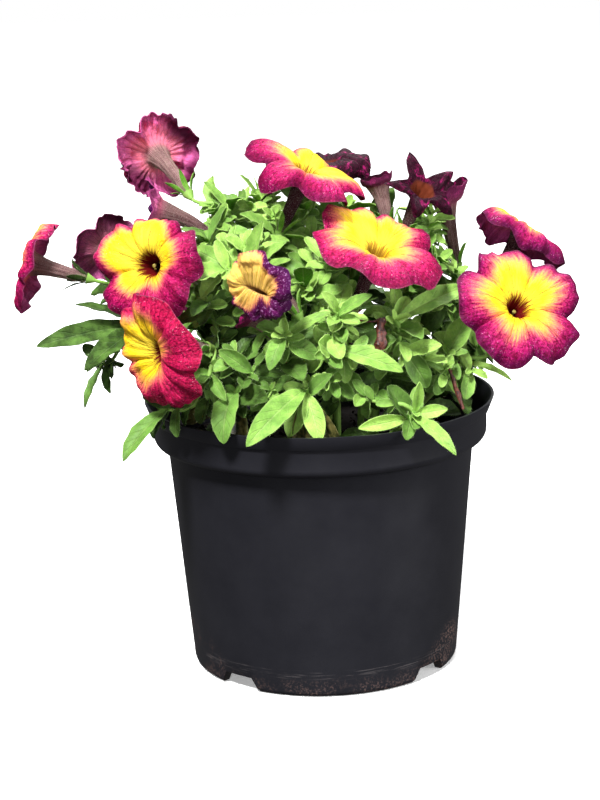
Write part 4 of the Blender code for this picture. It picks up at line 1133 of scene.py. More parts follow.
@dataclass(frozen=True)
class Leaf:
    """A leaf's form: its root, its heading, its upper face and its sizes."""

    root: Vector
    heading: Vector
    face: Vector
    length: float
    width: float
    droop: float
    twist: float = 0.0
    fold: float = 0.0
    tone: float = 0.5
    phase: float = 0.0
    trough: float = 0.0
    blunt: float = 0.72

    def outline(self, part: float) -> float:
        """Half the leaf's width at a part of its length."""
        return self.width / 2 * sin(pi * min(part, 1 - 1e-9) ** 1.15) ** self.blunt

    def point(self, part: float, across: float, lift: float = 0.0) -> Vector:
        """A point of the leaf.

        Args:
            part: how far along the leaf it is, from 0 at the root to 1 at the tip.
            across: where it is from one edge, -1, to the other, 1.
            lift: how far above the leaf's face it is.

        Returns:
            The point.
        """
        along, rise = arc(self.length, 0, -self.droop, part)
        slope = -self.droop * part
        normal = self.face * cos(slope) - self.heading * sin(slope)
        side = self.heading.cross(self.face)
        twist = self.twist * part
        side, normal = (side * cos(twist) + normal * sin(twist),
                        normal * cos(twist) - side * sin(twist))
        half = self.outline(part)
        phase = 7.5 * part * pi + self.phase + (2.1 if across > 0 else 0)
        ripple = 0.07 * self.width * across * across * sin(phase) * min(1, 4 * part * (1 - part))
        trough = self.trough * half * (across * across - 0.33)
        return (self.root + self.heading * along + self.face * rise
                + side * across * half * cos(self.fold)
                + normal * (abs(across) * half * sin(self.fold) + lift + ripple + trough))

    def rough_blade(self, thickness: float, start: float = 0.0) -> BMesh:
        """The leaf as a closed blade of few faces, for testing what is in its way.

        Args:
            thickness: how thick it is.
            start: the part of the leaf that it starts at.

        Returns:
            The blade.
        """
        bm = bmesh.new()
        ops.create_grid(bm, x_segments=3, y_segments=2, size=1)
        for vertex in bm.verts:
            part = start + (1 - start) * (vertex.co.x + 1) / 2
            vertex.co = self.point(part, vertex.co.y, thickness / 2)
        ops.remove_doubles(bm, verts=bm.verts[:], dist=0.01 * MM)
        ops.triangulate(bm, faces=bm.faces[:])
        ops.solidify(bm, geom=bm.faces[:], thickness=thickness)
        return bm

    def blade(self, cells: int, sides: int, thickness: float = 0.3 * MM) -> BMesh:
        """The finished blade, with its field "blade" of part, across and tone; the tone carries painted shade
        too.

        Args:
            cells: how many faces it has lengthways.
            sides: how many faces it has across.
            thickness: how thick it is.

        Returns:
            The blade, its underside with material index 1.
        """
        bm = bmesh.new()
        ops.create_grid(bm, x_segments=cells, y_segments=sides, size=1)
        layer = bm.verts.layers.float_vector.new("blade")
        for vertex in bm.verts:
            part, across = (vertex.co.x + 1) / 2, vertex.co.y
            part = 0.5 - 0.5 * cos(pi * (0.08 + 0.92 * part)) if part > 0 else 0.0
            vertex[layer] = (part, across, self.tone)
            vertex.co = self.point(part, across, thickness / 2)
        ops.remove_doubles(bm, verts=bm.verts[:], dist=WELD)
        top = set(bm.faces)
        ops.solidify(bm, geom=bm.faces[:], thickness=thickness)
        for face in bm.faces:
            face.material_index = 0 if face in top else 1
        return bm


def hair(bm: BMesh, rng: Random, root: Vector, way: Vector, length: float) -> None:
    """Adds one hair, a thin closed cone, to a tuft.

    Args:
        bm: the tuft.
        rng: the tuft's own random numbers.
        root: where the hair is rooted.
        way: roughly where it points.
        length: its length.
    """
    way = (way.normalized() + Vector([rng.gauss(0, 0.3) for _ in range(3)])).normalized()
    turn = UP.rotation_difference(way).to_matrix().to_4x4()
    ops.create_cone(bm, cap_ends=True, segments=3, radius1=HAIR_RADIUS, radius2=0, depth=length,
                    matrix=Matrix.Translation(root + way * length * 0.4) @ turn)


def across_leaf(heading: Vector, middle: Vector) -> Vector:
    """The way across a leaf whose upper face looks up and out of the plant."""
    outward = (middle - place((0, 10, 130))).normalized() + Vector((0, -0.4, 0.5))
    side = heading.cross(outward)
    return side.normalized() if side.length > 0.1 else any_normal(heading)


class Clearance:
    """What already stands in the plant, so that each added leaf can be kept clear of it."""

    def __init__(self) -> None:
        """Starts with nothing in the way."""
        self.trees: list[tuple[str, Vector, Vector, BVHTree]] = []

    @staticmethod
    def box(bm: BMesh) -> tuple[Vector, Vector]:
        """The lowest and highest corner of a bmesh."""
        columns = list(zip(*(vertex.co for vertex in bm.verts)))
        return Vector([min(column) for column in columns]), Vector([max(column) for column in columns])

    def add(self, owner: str, bm: BMesh) -> None:
        """Keeps a body as an obstacle that belongs to an owner, and frees it."""
        self.trees.append((owner, *self.box(bm), BVHTree.FromBMesh(bm)))
        bm.free()

    def add_node(self, name: str) -> None:
        """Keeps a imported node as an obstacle."""
        bm = bmesh.new()
        bm.from_mesh(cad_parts[name].data)
        ops.translate(bm, verts=bm.verts[:], vec=-POT_AXIS)
        self.add(name, bm)

    def blocked(self, bm: BMesh, allowed: str = "") -> bool:
        """Whether a body crosses anything other than what the allowed owner has."""
        low, high = self.box(bm)
        tree = None
        for owner, other_low, other_high, other in self.trees:
            if owner == allowed or any(low[i] > other_high[i] or high[i] < other_low[i] for i in range(3)):
                continue
            tree = tree or BVHTree.FromBMesh(bm)
            if tree.overlap(other):
                return True
        return False


@dataclass(frozen=True)
class Whorl:
    """The calyx under a bloom: a cup with five sepals."""

    bloom: Bloom
    length: float = 4 * MM
    base: float = 1 * MM
    mouth: float = 3 * MM
    rise: float = 9 * MM
    reach: float = 8.5 * MM
    droop: float = radians(34)
    width: float = 2.7 * MM
    root_reach: float = 1.6 * MM
    root_depth: float = 2.2 * MM

    def frame(self) -> Matrix:
        """The calyx's place, its axis along +Z and its mouth at the origin."""
        leaves = Vector(self.bloom.leaves).normalized()
        side = any_normal(leaves)
        turn = Matrix((side, leaves.cross(side), leaves)).transposed().to_4x4()
        return Matrix.Translation(place(self.bloom.seat) - leaves * 0.35 * MM) @ turn

    def cup(self) -> BMesh:
        """The cup that the corolla is seated in."""
        bm = bmesh.new()
        ops.create_cone(bm, cap_ends=True, segments=15, radius1=self.base, radius2=self.mouth * 0.95,
                        depth=self.length, matrix=Matrix.Translation((0, 0, -self.length / 2)))
        bm.transform(self.frame())
        return bm

    def sepals(self, tone: float) -> list[Leaf]:
        """The five sepals, each a narrow leaf from the cup to the solid's tip."""
        turn = self.frame().to_3x3()
        axis = turn @ UP
        seat = self.frame().translation
        made = []
        for index in range(LOBES):
            angle = (index + 0.5) * tau / LOBES
            out = turn @ Vector((cos(angle), sin(angle), 0))
            root = seat + out * self.root_reach - axis * self.root_depth
            chord = seat + out * self.reach + axis * self.rise - root
            side = axis.cross(out)
            heading, length = arched(chord, side, -self.droop)
            face = heading.cross(side)
            if face.dot(axis) < 0:
                face = -face
            made.append(Leaf(root, heading, face, length, self.width, self.droop, tone=tone, trough=0.3,
                             phase=index))
        return made


class LeafyStem:
    """A stem with its side shoots, flower stalks, calyxes and leaves."""

    foot_radius = 1.9 * MM
    crown_radius = 1.3 * MM
    shoot_radius = 1.1 * MM
    stalk_radius = 0.85 * MM
    rooted = 13 * MM
    calyx_length = 4 * MM
    leaf_step = 1.4 * MM
    first_slot = 0.7 * MM
    tries = 24
    long_leaf = 35 * MM
    long_fold = radians(20)
    twig_step = 9 * MM
    twig_radius = 0.7 * MM
    lowest_twig = 120 * MM
    lowest_leaf = 132 * MM
    lowest_hair = 112 * MM
    edge_hair_step = 0.9 * MM
    stem_hair_step = 0.4 * MM
    leaf_room = 0.4 * MM
    young_room = 0.5 * MM
    young_start = 0.3
    trunk_parts = 12
    shoot_parts = 8
    twig_parts = 6

    def __init__(self, stem: Stem, mix: PottingMix) -> None:
        """Lays out the stem's tubes.

        Args:
            stem: the stem's row of the table.
            mix: the potting mix that it stands in.
        """
        self.stem = stem
        x, y = stem.foot[0] * MM, stem.foot[1] * MM
        self.foot = Vector((x, y, mix.height(x, y) - self.rooted))
        self.trunk = self.trunk_path(3)
        self.shoots = [self.trunk] + [self.shoot_path(place(tip), 2) for tip in stem.tips]
        self.blooms = [bloom for bloom in BLOOMS if bloom.stem == stem.name]
        self.leaves: list[Leaf] = []
        self.small: list[Leaf] = []
        self.twigs: list[list[Vector]] = []

    def trunk_path(self, parts: int) -> list[Vector]:
        """Points up the stem, upright in its hole and then leaning out to its crown."""
        collar = self.foot + UP * (self.rooted + 3 * MM)
        crown = place(self.stem.crown)
        rise = crown.z - collar.z
        lean = (crown - collar).normalized()
        up = collar + UP * rise * 0.45
        down = crown - (lean + UP * 0.6).normalized() * rise * 0.35
        return [self.foot] + curve(collar, up, down, crown, parts)

    def shoot_path(self, tip: Vector, parts: int) -> list[Vector]:
        """Points along a side shoot, from inside the stem's crown to the shoot's tip."""
        start = self.trunk[-1]
        away = tip - start
        reach = away.length
        handle = start + (path_end(self.trunk) + away.normalized()).normalized() * reach * 0.4
        settle = (away.normalized() + UP * 0.7).normalized()
        return curve(start, handle, tip - settle * reach * 0.35, tip, parts)

    def stalk_path(self, bloom: Bloom, parts: int) -> list[Vector]:
        """Points along a flower stalk, from the nearest rosette to just short of the corolla."""
        leaves = Vector(bloom.leaves).normalized()
        near = place(bloom.seat) - leaves * 12 * MM
        start = min((path[-1] for path in self.shoots), key=lambda tip: (tip - near).length)
        end = place(bloom.seat) - leaves * (self.calyx_length - 1 * MM)
        reach = (end - start).length
        handle = start + ((end - start).normalized() + UP * 0.4).normalized() * reach * 0.4
        return curve(start, handle, end - leaves * reach * 0.4, end, parts)

    def leaf_root(self, path: Sequence[Vector], slot: int) -> Vector:
        """Where the leaf of a slot is rooted: the first just below the shoot's tip."""
        return path[-1] - path_end(path) * (self.first_slot + self.leaf_step * slot)

    def main_leaf(self, blade: Blade, slot: int) -> Leaf:
        """A listed leaf, as a form from its shoot to its tip."""
        root = self.leaf_root(self.shoots[blade.shoot], slot)
        chord = place(blade.tip) - root
        side = across_leaf(chord.normalized(), (root + place(blade.tip)) / 2)
        side.rotate(Quaternion(chord.normalized(), radians(blade.roll)))
        droop = radians(blade.droop)
        heading, length = arched(chord, side, droop)
        fold = self.long_fold if length > self.long_leaf else 0
        return Leaf(root, heading, side.cross(heading), length, blade.width * MM, droop, fold=fold)

    @staticmethod
    def rosette_leaf(rng: Random, axis: Vector, root: Vector, size: float, inner: float) -> Leaf:
        """A leaf of a rosette: the outer ones are long and level, the inner ones short and upright."""
        tilt = radians(68 - 36 * inner + rng.uniform(-12, 12))
        out = sideways(axis, rng.uniform(0, tau))
        length = size * MM * (1.25 - 0.5 * inner) * rng.uniform(0.9, 1.15)
        heading = axis * cos(tilt) + out * sin(tilt)
        side = across_leaf(heading, root + heading * length / 2)
        side.rotate(Quaternion(heading, radians(rng.uniform(-20, 20))))
        return Leaf(root, heading, side.cross(heading), length, length * rng.uniform(0.42, 0.52),
                    radians(rng.uniform(30, 75)), radians(rng.uniform(-25, 25)))

    def dressed(self, leaf: Leaf, rng: Random, young: float, no_painted_shade: bool = False) -> Leaf:
        """A leaf with its own tone, ripple and trough; painted shade darkens its tone deeper inside the
        plant, unless its flag against painted shade is set.
        """
        middle = leaf.point(0.5, 0)
        # Painted shade: the tone is darkened the deeper inside the plant the leaf sits.
        painted_light_level = ease(150 * MM, 205 * MM, middle.z + 0.55 * hypot(middle.x, middle.y))
        tone = self.stem.tone + young * 0.3 + rng.uniform(-0.2, 0.2)
        tone = min(1.0, max(0.0, tone)) * (1.0 if no_painted_shade else 0.05 + 0.95 * painted_light_level)
        return replace(leaf, tone=tone, phase=rng.uniform(0, tau),
                       trough=0.0 if leaf.fold else rng.uniform(0.25, 0.7))

    def lay_out(self) -> None:
        """Finds each leaf of the solid: of the forms that were tried, the one whose tip it holds."""
        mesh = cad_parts["stem_" + self.stem.name].data
        tips = KDTree(len(mesh.vertices))
        for vertex in mesh.vertices:
            tips.insert(vertex.co - POT_AXIS, vertex.index)
        tips.balance()

        def kept(forms: Iterator[Leaf]) -> Optional[Leaf]:
            """The form whose tip is a corner of the solid, if there is one."""
            tried = list(forms)
            return next((leaf for leaf in tried if tips.find(leaf.point(1, 0))[2] < 0.05 * MM), None)

        stem = self.stem
        looks = Random("looks " + stem.name)
        filled: dict[int, int] = {}
        for blade in stem.blades:
            slot = filled.get(blade.shoot, 0)
            filled[blade.shoot] = slot + 1
            form = self.main_leaf(blade, slot)
            leaf = kept(replace(form, length=form.length * (1 - 0.03 * step),
                                droop=form.droop * (1 + 0.12 * step * (-1) ** step)) for step in range(12))
            if leaf:
                self.leaves.append(self.dressed(leaf, looks, 0.1, no_painted_shade=True))
        rng = Random(f"{stem.name} {stem.seed}")
        spots = []
        for shoot, path in enumerate(self.shoots):
            first = filled.get(shoot, 0)
            count = max(1, stem.rosette - first // 2)
            spots += [(path, first + index, 1 - index / count) for index in range(count)]
        spots += [(self.trunk[:-1 - low // 2], 1 - low % 2, 0) for low in range(stem.low_leaves)]
        for path, slot, inner in spots:
            leaf = kept(self.rosette_leaf(rng, path_end(path), self.leaf_root(path, slot),
                                          stem.size * (1 - 0.4 * attempt / self.tries), inner)
                        for attempt in range(self.tries))
            if leaf:
                self.leaves.append(self.dressed(leaf, looks, 1.3 * inner - 1.5))

    def add_extra(self, clearance: Clearance) -> None:
        """Adds the listed fine leaves that have no solid of their own."""
        rng = Random("extra " + self.stem.name)
        for slot, blade in enumerate(self.stem.extra):
            self.try_leaf([self.main_leaf(blade, slot + 1)], clearance, rng, 0.6)

    def try_leaf(self, forms: Sequence[Leaf], clearance: Clearance, rng: Random,
                 young: float) -> None:
        """Keeps the first of some leaves that has room.

        Args:
            forms: the leaves to try.
            clearance: what stands in the plant already.
            rng: the stem's own random numbers.
            young: how young the leaf is.
        """
        for leaf in forms:
            body = leaf.rough_blade(self.young_room, self.young_start)
            if not clearance.blocked(body, self.stem.name):
                clearance.add(self.stem.name + "/young", body)
                self.small.append(self.dressed(replace(leaf, blunt=0.55), rng, young))
                return
            body.free()

    def twig_leaf(self, rng: Random, root: Vector, axis: Vector, turn: float, tilt: float,
                  length: float) -> Leaf:
        """A small leaf that stands out from a twig.

        Args:
            rng: the stem's own random numbers.
            root: where it is rooted.
            axis: the twig's direction there.
            turn: how far round the twig it is.
            tilt: its angle from the twig.
            length: its length.

        Returns:
            The leaf, its upper face towards the twig's tip.
        """
        heading = axis * cos(tilt) + sideways(axis, turn) * sin(tilt)
        outward = Vector((root.x, root.y - 10 * MM, 0)).normalized()
        side = heading.cross(axis * 0.4 + UP * 0.6 + outward * 0.4 + Vector((0, -0.45, 0)))
        side = side.normalized() if side.length > 0.1 else any_normal(heading)
        return Leaf(root, heading, side.cross(heading), length, length * rng.uniform(0.42, 0.58),
                    radians(rng.uniform(15, 65)), radians(rng.uniform(-15, 15)))

    def fine_paths(self) -> list[list[Vector]]:
        """The paths of the stem and its shoots, with more points than the solid's."""
        return ([self.trunk_path(self.trunk_parts)]
                + [self.shoot_path(place(tip), self.shoot_parts) for tip in self.stem.tips])

    def twig_path(self, tip: Vector) -> list[Vector]:
        """Points along a thin twig, from the nearest point of the stem or its shoots to its tip."""
        places = [(point, (after - point).normalized())
                  for path in self.fine_paths() for point, after in zip(path, path[1:])
                  if self.lowest_twig < point.z < tip.z + 4 * MM]
        start, axis = min(places, key=lambda found: (found[0] - tip).length)
        away = tip - start
        handle = start + (axis + away.normalized() * 0.8).normalized() * away.length * 0.4
        settle = (away.normalized() + UP * 0.8).normalized()
        return curve(start, handle, tip - settle * away.length * 0.35, tip, self.twig_parts)

    def add_twigs(self, clearance: Clearance) -> None:
        """Grows the thin twigs that fill the plant's middle, where they have room."""
        for tip in self.stem.twigs:
            path = self.twig_path(place(tip))
            body = self.tube(path[1:], [self.twig_radius] * self.twig_parts, 0)
            if not clearance.blocked(body, self.stem.name):
                self.twigs.append(path)
            body.free()

    def add_young(self, clearance: Clearance) -> None:
        """Adds the small young leaves round each shoot's tip and up the stems, where they have room.

        Args:
            clearance: what stands in the plant already.
        """
        rng = Random("young " + self.stem.name)
        for path in self.shoots + self.twigs:
            axis = path_end(path)
            start = rng.uniform(0, tau)
            for index in range(self.stem.young):
                inner = 1 - index / self.stem.young
                root = path[-1] - axis * (0.8 * MM * index)
                forms = []
                for attempt in range(5):
                    tilt = radians(84 - 58 * inner + rng.uniform(-9, 9))
                    length = (7 + 10 * (1 - inner)) * MM * rng.uniform(0.85, 1.15) * (1 - 0.1 * attempt)
                    forms.append(self.twig_leaf(rng, root, axis, start + GOLDEN * index + attempt * 0.6,
                                                tilt, length))
                self.try_leaf(forms, clearance, rng, 1.2 * inner - 0.4)
        for fine in self.fine_paths() + self.twigs:
            turn = rng.uniform(0, tau)
            walked = 0.0
            for low, high in zip(fine, fine[1:]):
                walked += (high - low).length
                if low.z < self.lowest_leaf or walked < self.twig_step:
                    continue
                walked = 0.0
                axis = (high - low).normalized()
                turn += GOLDEN
                forms = [self.twig_leaf(rng, high, axis, turn + attempt * 0.7,
                                        radians(rng.uniform(48, 80)),
                                        rng.uniform(14, 23) * MM * (1 - 0.11 * attempt))
                         for attempt in range(6)]
                # Lower twig leaves get a darker tone, partly for their age and partly as painted shade in the
                # plant's lower layers.
                self.try_leaf(forms, clearance, rng, 1.7 * ease(165 * MM, 205 * MM, high.z) - 1.3)
                bud = (axis * 0.8 + sideways(axis, turn) * 0.7).normalized()
                for index in range(5):
                    tilt, size = radians(22 + 9 * index), (6 + 1.6 * index) * MM
                    forms = [self.twig_leaf(rng, high + bud * 0.5 * MM, bud, turn + GOLDEN * index + attempt,
                                            tilt, size * (1 - 0.12 * attempt)) for attempt in range(3)]
                    # Bud leaves are lighter higher up: partly younger growth, partly painted shade lower
                    # down.
                    self.try_leaf(forms, clearance, rng, ease(150 * MM, 200 * MM, high.z) - 0.3)

    def tubes(self) -> Iterator[tuple[list[Vector], list[float]]]:
        """Each tube as its path and its radii."""
        trunk, *shoots = self.fine_paths()
        stalks = [self.stalk_path(bloom, self.shoot_parts) for bloom in self.blooms]
        for paths, first, last in (([trunk], self.foot_radius, self.crown_radius),
                                   (shoots, self.shoot_radius, 0.75 * self.shoot_radius),
                                   (stalks, 1.2 * self.stalk_radius, self.stalk_radius),
                                   (self.twigs, 1.3 * self.twig_radius, self.twig_radius)):
            for path in paths:
                yield path, [first + (last - first) * index / (len(path) - 1) for index in range(len(path))]

    @staticmethod
    def tube(path: Sequence[Vector], radii: Sequence[float], fineness: int = 2) -> BMesh:
        """A round tube along a path, closed at both ends."""
        wire = set_up(bpy.data.curves.new("tube", "CURVE"), dimensions="3D", bevel_depth=1,
                      bevel_resolution=fineness, use_fill_caps=True)
        spline = wire.splines.new("POLY")
        spline.points.add(len(path) - 1)
        for point, where, radius in zip(spline.points, path, radii):
            point.co = (*where, 1)
            point.radius = radius
        bm = baked(linked("tube", wire))
        ops.remove_doubles(bm, verts=bm.verts[:], dist=0.001 * MM)
        ops.recalc_face_normals(bm, faces=bm.faces[:])
        return bm

    def remains(self) -> Iterator[BMesh]:
        """The dried remains that hang on the stem, each a thin stalk and a shrivelled body."""
        for tip, end, radius in self.stem.spent:
            yield self.tube(self.twig_path(place(tip)), [0.45 * MM] * (self.twig_parts + 1))
            waves = [sin(pi * (0.1 + 0.09 * i)) for i in range(9)]
            body = self.tube([place(tip).lerp(place(end), i / 8) for i in range(9)],
                             [radius * MM * (0.3 + 0.7 * wave ** 0.7) for wave in waves], 3)
            for vertex in body.verts:
                vertex.co += noise.noise_vector(vertex.co / (1.9 * MM)) * 0.9 * radius * MM
            yield body

    def hairs(self) -> Iterator[BMesh]:
        """The fine hairs along the leaves' edges and all round the stems, a tuft at a time."""
        rng = Random("hairs " + self.stem.name)
        sepals = [sepal for bloom in self.blooms for sepal in Whorl(bloom).sepals(0.5)]
        for leaf in self.leaves + self.small + sepals:
            tuft = bmesh.new()
            count = int(leaf.length / self.edge_hair_step)
            for index in range(count):
                part = 0.12 + 0.86 * (index + rng.random()) / count
                for across in (-1, 1):
                    edge = leaf.point(part, across)
                    hair(tuft, rng, edge, edge - leaf.point(part, 0), rng.uniform(0.4, 0.8) * MM)
            yield tuft
        for path, radii in self.tubes():
            tuft = bmesh.new()
            for low, high, radius in zip(path[1:], path[2:], radii[1:]):
                if high.z < self.lowest_hair:
                    continue
                axis = (high - low).normalized()
                for _ in range(int((high - low).length / self.stem_hair_step)):
                    out = sideways(axis, rng.uniform(0, tau))
                    hair(tuft, rng, low.lerp(high, rng.random()) + out * radius * 0.9, out,
                         rng.uniform(0.6, 1.1) * MM)
            yield tuft

    def build(self, palette: Palette) -> None:
        """Builds the stem's tubes, calyxes, leaves and hairs as one piece.

        Args:
            palette: the finishes.
        """
        name = self.stem.name
        piece = Piece("leafy_stem_" + name, "foliage", "stem_" + name)
        for path, radii in self.tubes():
            piece.add(self.tube(path, radii), palette.stem)
        for bloom in self.blooms:
            whorl = Whorl(bloom)
            piece.add(whorl.cup(), palette.stem)
            for sepal in whorl.sepals(self.stem.tone):
                piece.add(sepal.blade(8, 4), palette.leaf, palette.under)
        for leaf in self.leaves:
            cells = 18 if leaf.length > self.long_leaf else 12
            piece.add(leaf.blade(cells, 8 if leaf.fold else 6), palette.leaf, palette.under)
        for leaf in self.small:
            piece.add(leaf.blade(8, 4), palette.leaf, palette.under)
        for blade in self.stem.dead:
            leaf = replace(self.main_leaf(blade, 3), trough=0.6, phase=1.0, fold=0.3)
            piece.add(leaf.blade(10, 4), palette.dead_leaf)
        for body in self.remains():
            piece.add(body, palette.withered)
        for tuft in self.hairs():
            piece.add(tuft, palette.hair)
        piece.finish(smooth=60)


# blooms


class Corolla:
    """A corolla: a funnel along a bent axis, opening into a limb of five lobes."""

    tube_radius = 2.1 * MM
    neck_radius = 3.4 * MM
    throat_radius = 5.8 * MM
    neck_at = 0.62
    flare = radians(36)
    thickness = 0.32 * MM
    stigma_radius = 1.0 * MM
    anther_radius = 0.75 * MM
    steps = 120
    limb_rings = 20
    funnel_rings = 9

    def __init__(self, bloom: Bloom) -> None:
        """Works out the funnel's frame."""
        self.bloom = bloom
        self.seat = place(bloom.seat)
        self.leaves = Vector(bloom.leaves).normalized()
        faces = Vector(bloom.faces).normalized()
        self.bend = self.leaves.angle(faces)
        axis = self.leaves.cross(faces)
        self.hinge = axis.normalized() if axis.length > 1e-4 else any_normal(self.leaves)
        self.lean = self.hinge.cross(self.leaves)
        level = faces.cross(UP)
        upward = level.cross(faces).normalized() if level.length > 1e-3 else self.lean
        self.turn = atan2(upward.dot(self.hinge), upward.dot(self.hinge.cross(faces)))

    def axis_point(self, part: float) -> tuple[Vector, Vector]:
        """A point on the funnel's axis, and the axis's direction there."""
        along, rise = arc(self.bloom.tube * MM, 0, self.bend, part)
        slope = self.bend * part
        direction = self.leaves * cos(slope) + self.lean * sin(slope)
        return self.seat + self.leaves * along + self.lean * rise, direction

    def spoke(self, direction: Vector, angle: float) -> Vector:
        """The unit vector out of the axis at an angle round it."""
        return self.hinge.cross(direction) * cos(angle) + self.hinge * sin(angle)

    def funnel_radius(self, part: float) -> float:
        """The funnel's radius at a part of its length."""
        if part < self.neck_at:
            return self.tube_radius + (self.neck_radius - self.tube_radius) * part / self.neck_at
        wide = ((part - self.neck_at) / (1 - self.neck_at)) ** 1.5
        return self.neck_radius + (self.throat_radius - self.neck_radius) * wide

    def lobe_bend(self, around: float) -> float:
        """How far a petal's edge is bent past the limb's spread, in radians."""
        total = 0.0
        for lobe, bend in enumerate(self.bloom.lobe_bends):
            off = remainder(around - lobe * tau / LOBES, tau)
            total += bend * max(0.0, cos(off * LOBES / 4)) ** 2
        return radians(total)

    def point(self, part: float, around: float) -> Vector:
        """A point of the corolla.

        Args:
            part: 0 to 1 is the funnel, 1 to 2 the limb.
            around: the angle round the axis.

        Returns:
            The point.
        """
        bloom = self.bloom
        centre, direction = self.axis_point(min(part, 1))
        out = self.spoke(direction, around + self.turn)
        pinch = bloom.slit * exp(-((part - 1.02) / 0.22) ** 2)
        if pinch > 0.01:
            narrow = self.spoke(direction, radians(bloom.slit_at))
            out = out - narrow * out.dot(narrow) * pinch * 0.8
        if part <= 1:
            ribs = 0.12 * MM * cos(10 * around) * ease(0.1, 0.6, part)
            return centre + out * (self.funnel_radius(part) + ribs)
        rim = part - 1
        saw = (1 - cos(LOBES * around)) / 2
        length = bloom.limb * MM * (1 - bloom.notch * saw ** bloom.cleft)
        length *= 1 - 0.16 * bloom.crumple
        end = radians(bloom.spread) + self.lobe_bend(around)
        along, rise = arc(length, self.flare, end, rim)
        wave = bloom.wave * MM * rim * rim * sin(7 * around + len(bloom.name))
        slope = self.flare + (end - self.flare) * rim
        relief = self.relief(rim, around)
        return (centre + out * (self.throat_radius + along - sin(slope) * relief)
                + direction * (rise + wave + cos(slope) * relief))

    def relief(self, rim: float, around: float) -> float:
        """How far the petal's surface stands above the plain limb, from its folds and frills.

        Args:
            rim: how far out it is, from 0 at the throat to 1 at the rim.
            around: the angle round the axis.

        Returns:
            The height.
        """
        bloom = self.bloom
        size = bloom.limb / 28
        name = len(bloom.name) * 1.7
        crease = -1.25 * ease(0.0, 0.4, rim) * exp(-(cos(2.5 * around) / 0.17) ** 2)
        groove = -0.5 * ease(0.0, 0.3, rim) * exp(-(sin(2.5 * around) / 0.13) ** 2)
        pleats = 0.3 * ease(0.05, 0.4, rim) * cos(15 * around + sin(3 * around + name))
        frill = bloom.wave * rim ** 3 * (0.3 * sin(19 * around + name)
                                         + 0.16 * sin(27 * around + 2 * sin(4 * around)))
        curl = -(1.3 + 3.5 * bloom.crumple) * ease(0.65, 1.0, rim)
        saw = (1 - cos(LOBES * around)) / 2
        fold = bloom.fold * rim * (saw - 0.3)
        spot = Vector((cos(around) * rim, sin(around) * rim, name)) * 2.6
        soft = noise.noise(spot) * 1.1
        rough = bloom.crumple * ease(0.0, 0.5, rim) * (3.2 * noise.noise(spot * 1.3 + Vector((7, 3, 1)))
                                                       + 1.3 * noise.noise(spot * 3.1))
        pleated = bloom.crumple * 0.6 * ease(0.0, 0.4, rim) * sin(23 * around + 2 * sin(5 * around))
        return (crease + groove + pleats + frill + curl + fold + soft + rough + pleated) * size * MM

    def rings(self) -> list[float]:
        """The parts at which the corolla has a ring of points."""
        funnel = [index / self.funnel_rings for index in range(self.funnel_rings)]
        return funnel + [1 + index / self.limb_rings for index in range(self.limb_rings + 1)]

    def heart(self, part: float, around: float) -> float:
        """How far inside the yellow heart a point is: 0 at the dark rim, 1 well inside."""
        bloom = self.bloom
        reach = (bloom.heart + bloom.lean * cos(around - radians(bloom.lean_at))
                 + 0.07 * cos(LOBES * around))
        inside = reach - max(0.0, part - 1)
        if abs(inside) < bloom.fade:
            return 0.61 + 0.17 * inside / bloom.fade
        if inside > 0:
            return 0.78 + 0.22 * min(1.0, (inside - bloom.fade) / 0.4)
        return 0.44 * (1 - min(1.0, (-inside - bloom.fade) / max(0.15, 1.0 - reach - bloom.fade)))

    def shade(self, part: float, around: float) -> float:
        """How much painted shade the back has at a point, from 0 to 1: darker where a fold or pocket would be
        in shadow.
        """
        deepest = 0.0
        for turn, where, reach in self.bloom.shade:
            off = remainder(around - radians(turn), tau)
            deepest = max(deepest, 1 - ease(0.4 * reach, reach, hypot(off * 0.8, part - where)))
        return deepest

    def wall(self) -> BMesh:
        """The petal's wall, closed, with material index 1 on its back and its fields."""
        rings = self.rings()
        steps = self.steps if self.bloom.limb > 9 else self.steps // 2
        bm = turned([(1, -index) for index in range(len(rings))], steps)
        vectors = bm.verts.layers.float_vector
        round_layer = vectors.new("round")
        heart_layer = bm.verts.layers.float.new("heart")
        look_layer = vectors.new("look")
        tint_layer = vectors.new("tint")
        for vertex in bm.verts:
            around = atan2(vertex.co.y, vertex.co.x) % tau
            part = rings[round(-vertex.co.z)]
            vertex[round_layer] = (cos(around), sin(around), part)
            vertex[heart_layer] = self.heart(part, around)
            vertex[look_layer] = (self.bloom.age.value, self.bloom.tone, self.bloom.ribs)
            vertex[tint_layer] = (self.bloom.cool, self.bloom.blush, self.shade(part, around))
            vertex.co = self.point(part, around)
        bm.normal_update()
        _, direction = self.axis_point(1)
        middle = [face for face in bm.faces if 1.02 < face.verts[0][round_layer].z < 1.15]
        if sum(face.normal.dot(direction) for face in middle) < 0:
            ops.reverse_faces(bm, faces=bm.faces[:])
        sheet = linked("sheet", mesh_of(bm, "sheet"))
        set_up(sheet.modifiers.new("wall", "SOLIDIFY"), thickness=self.thickness, offset=0,
               material_offset=1, material_offset_rim=1)
        for side in ("petal_face", "petal_back"):
            sheet.data.materials.append(bpy.data.materials[side])
        return baked(sheet)

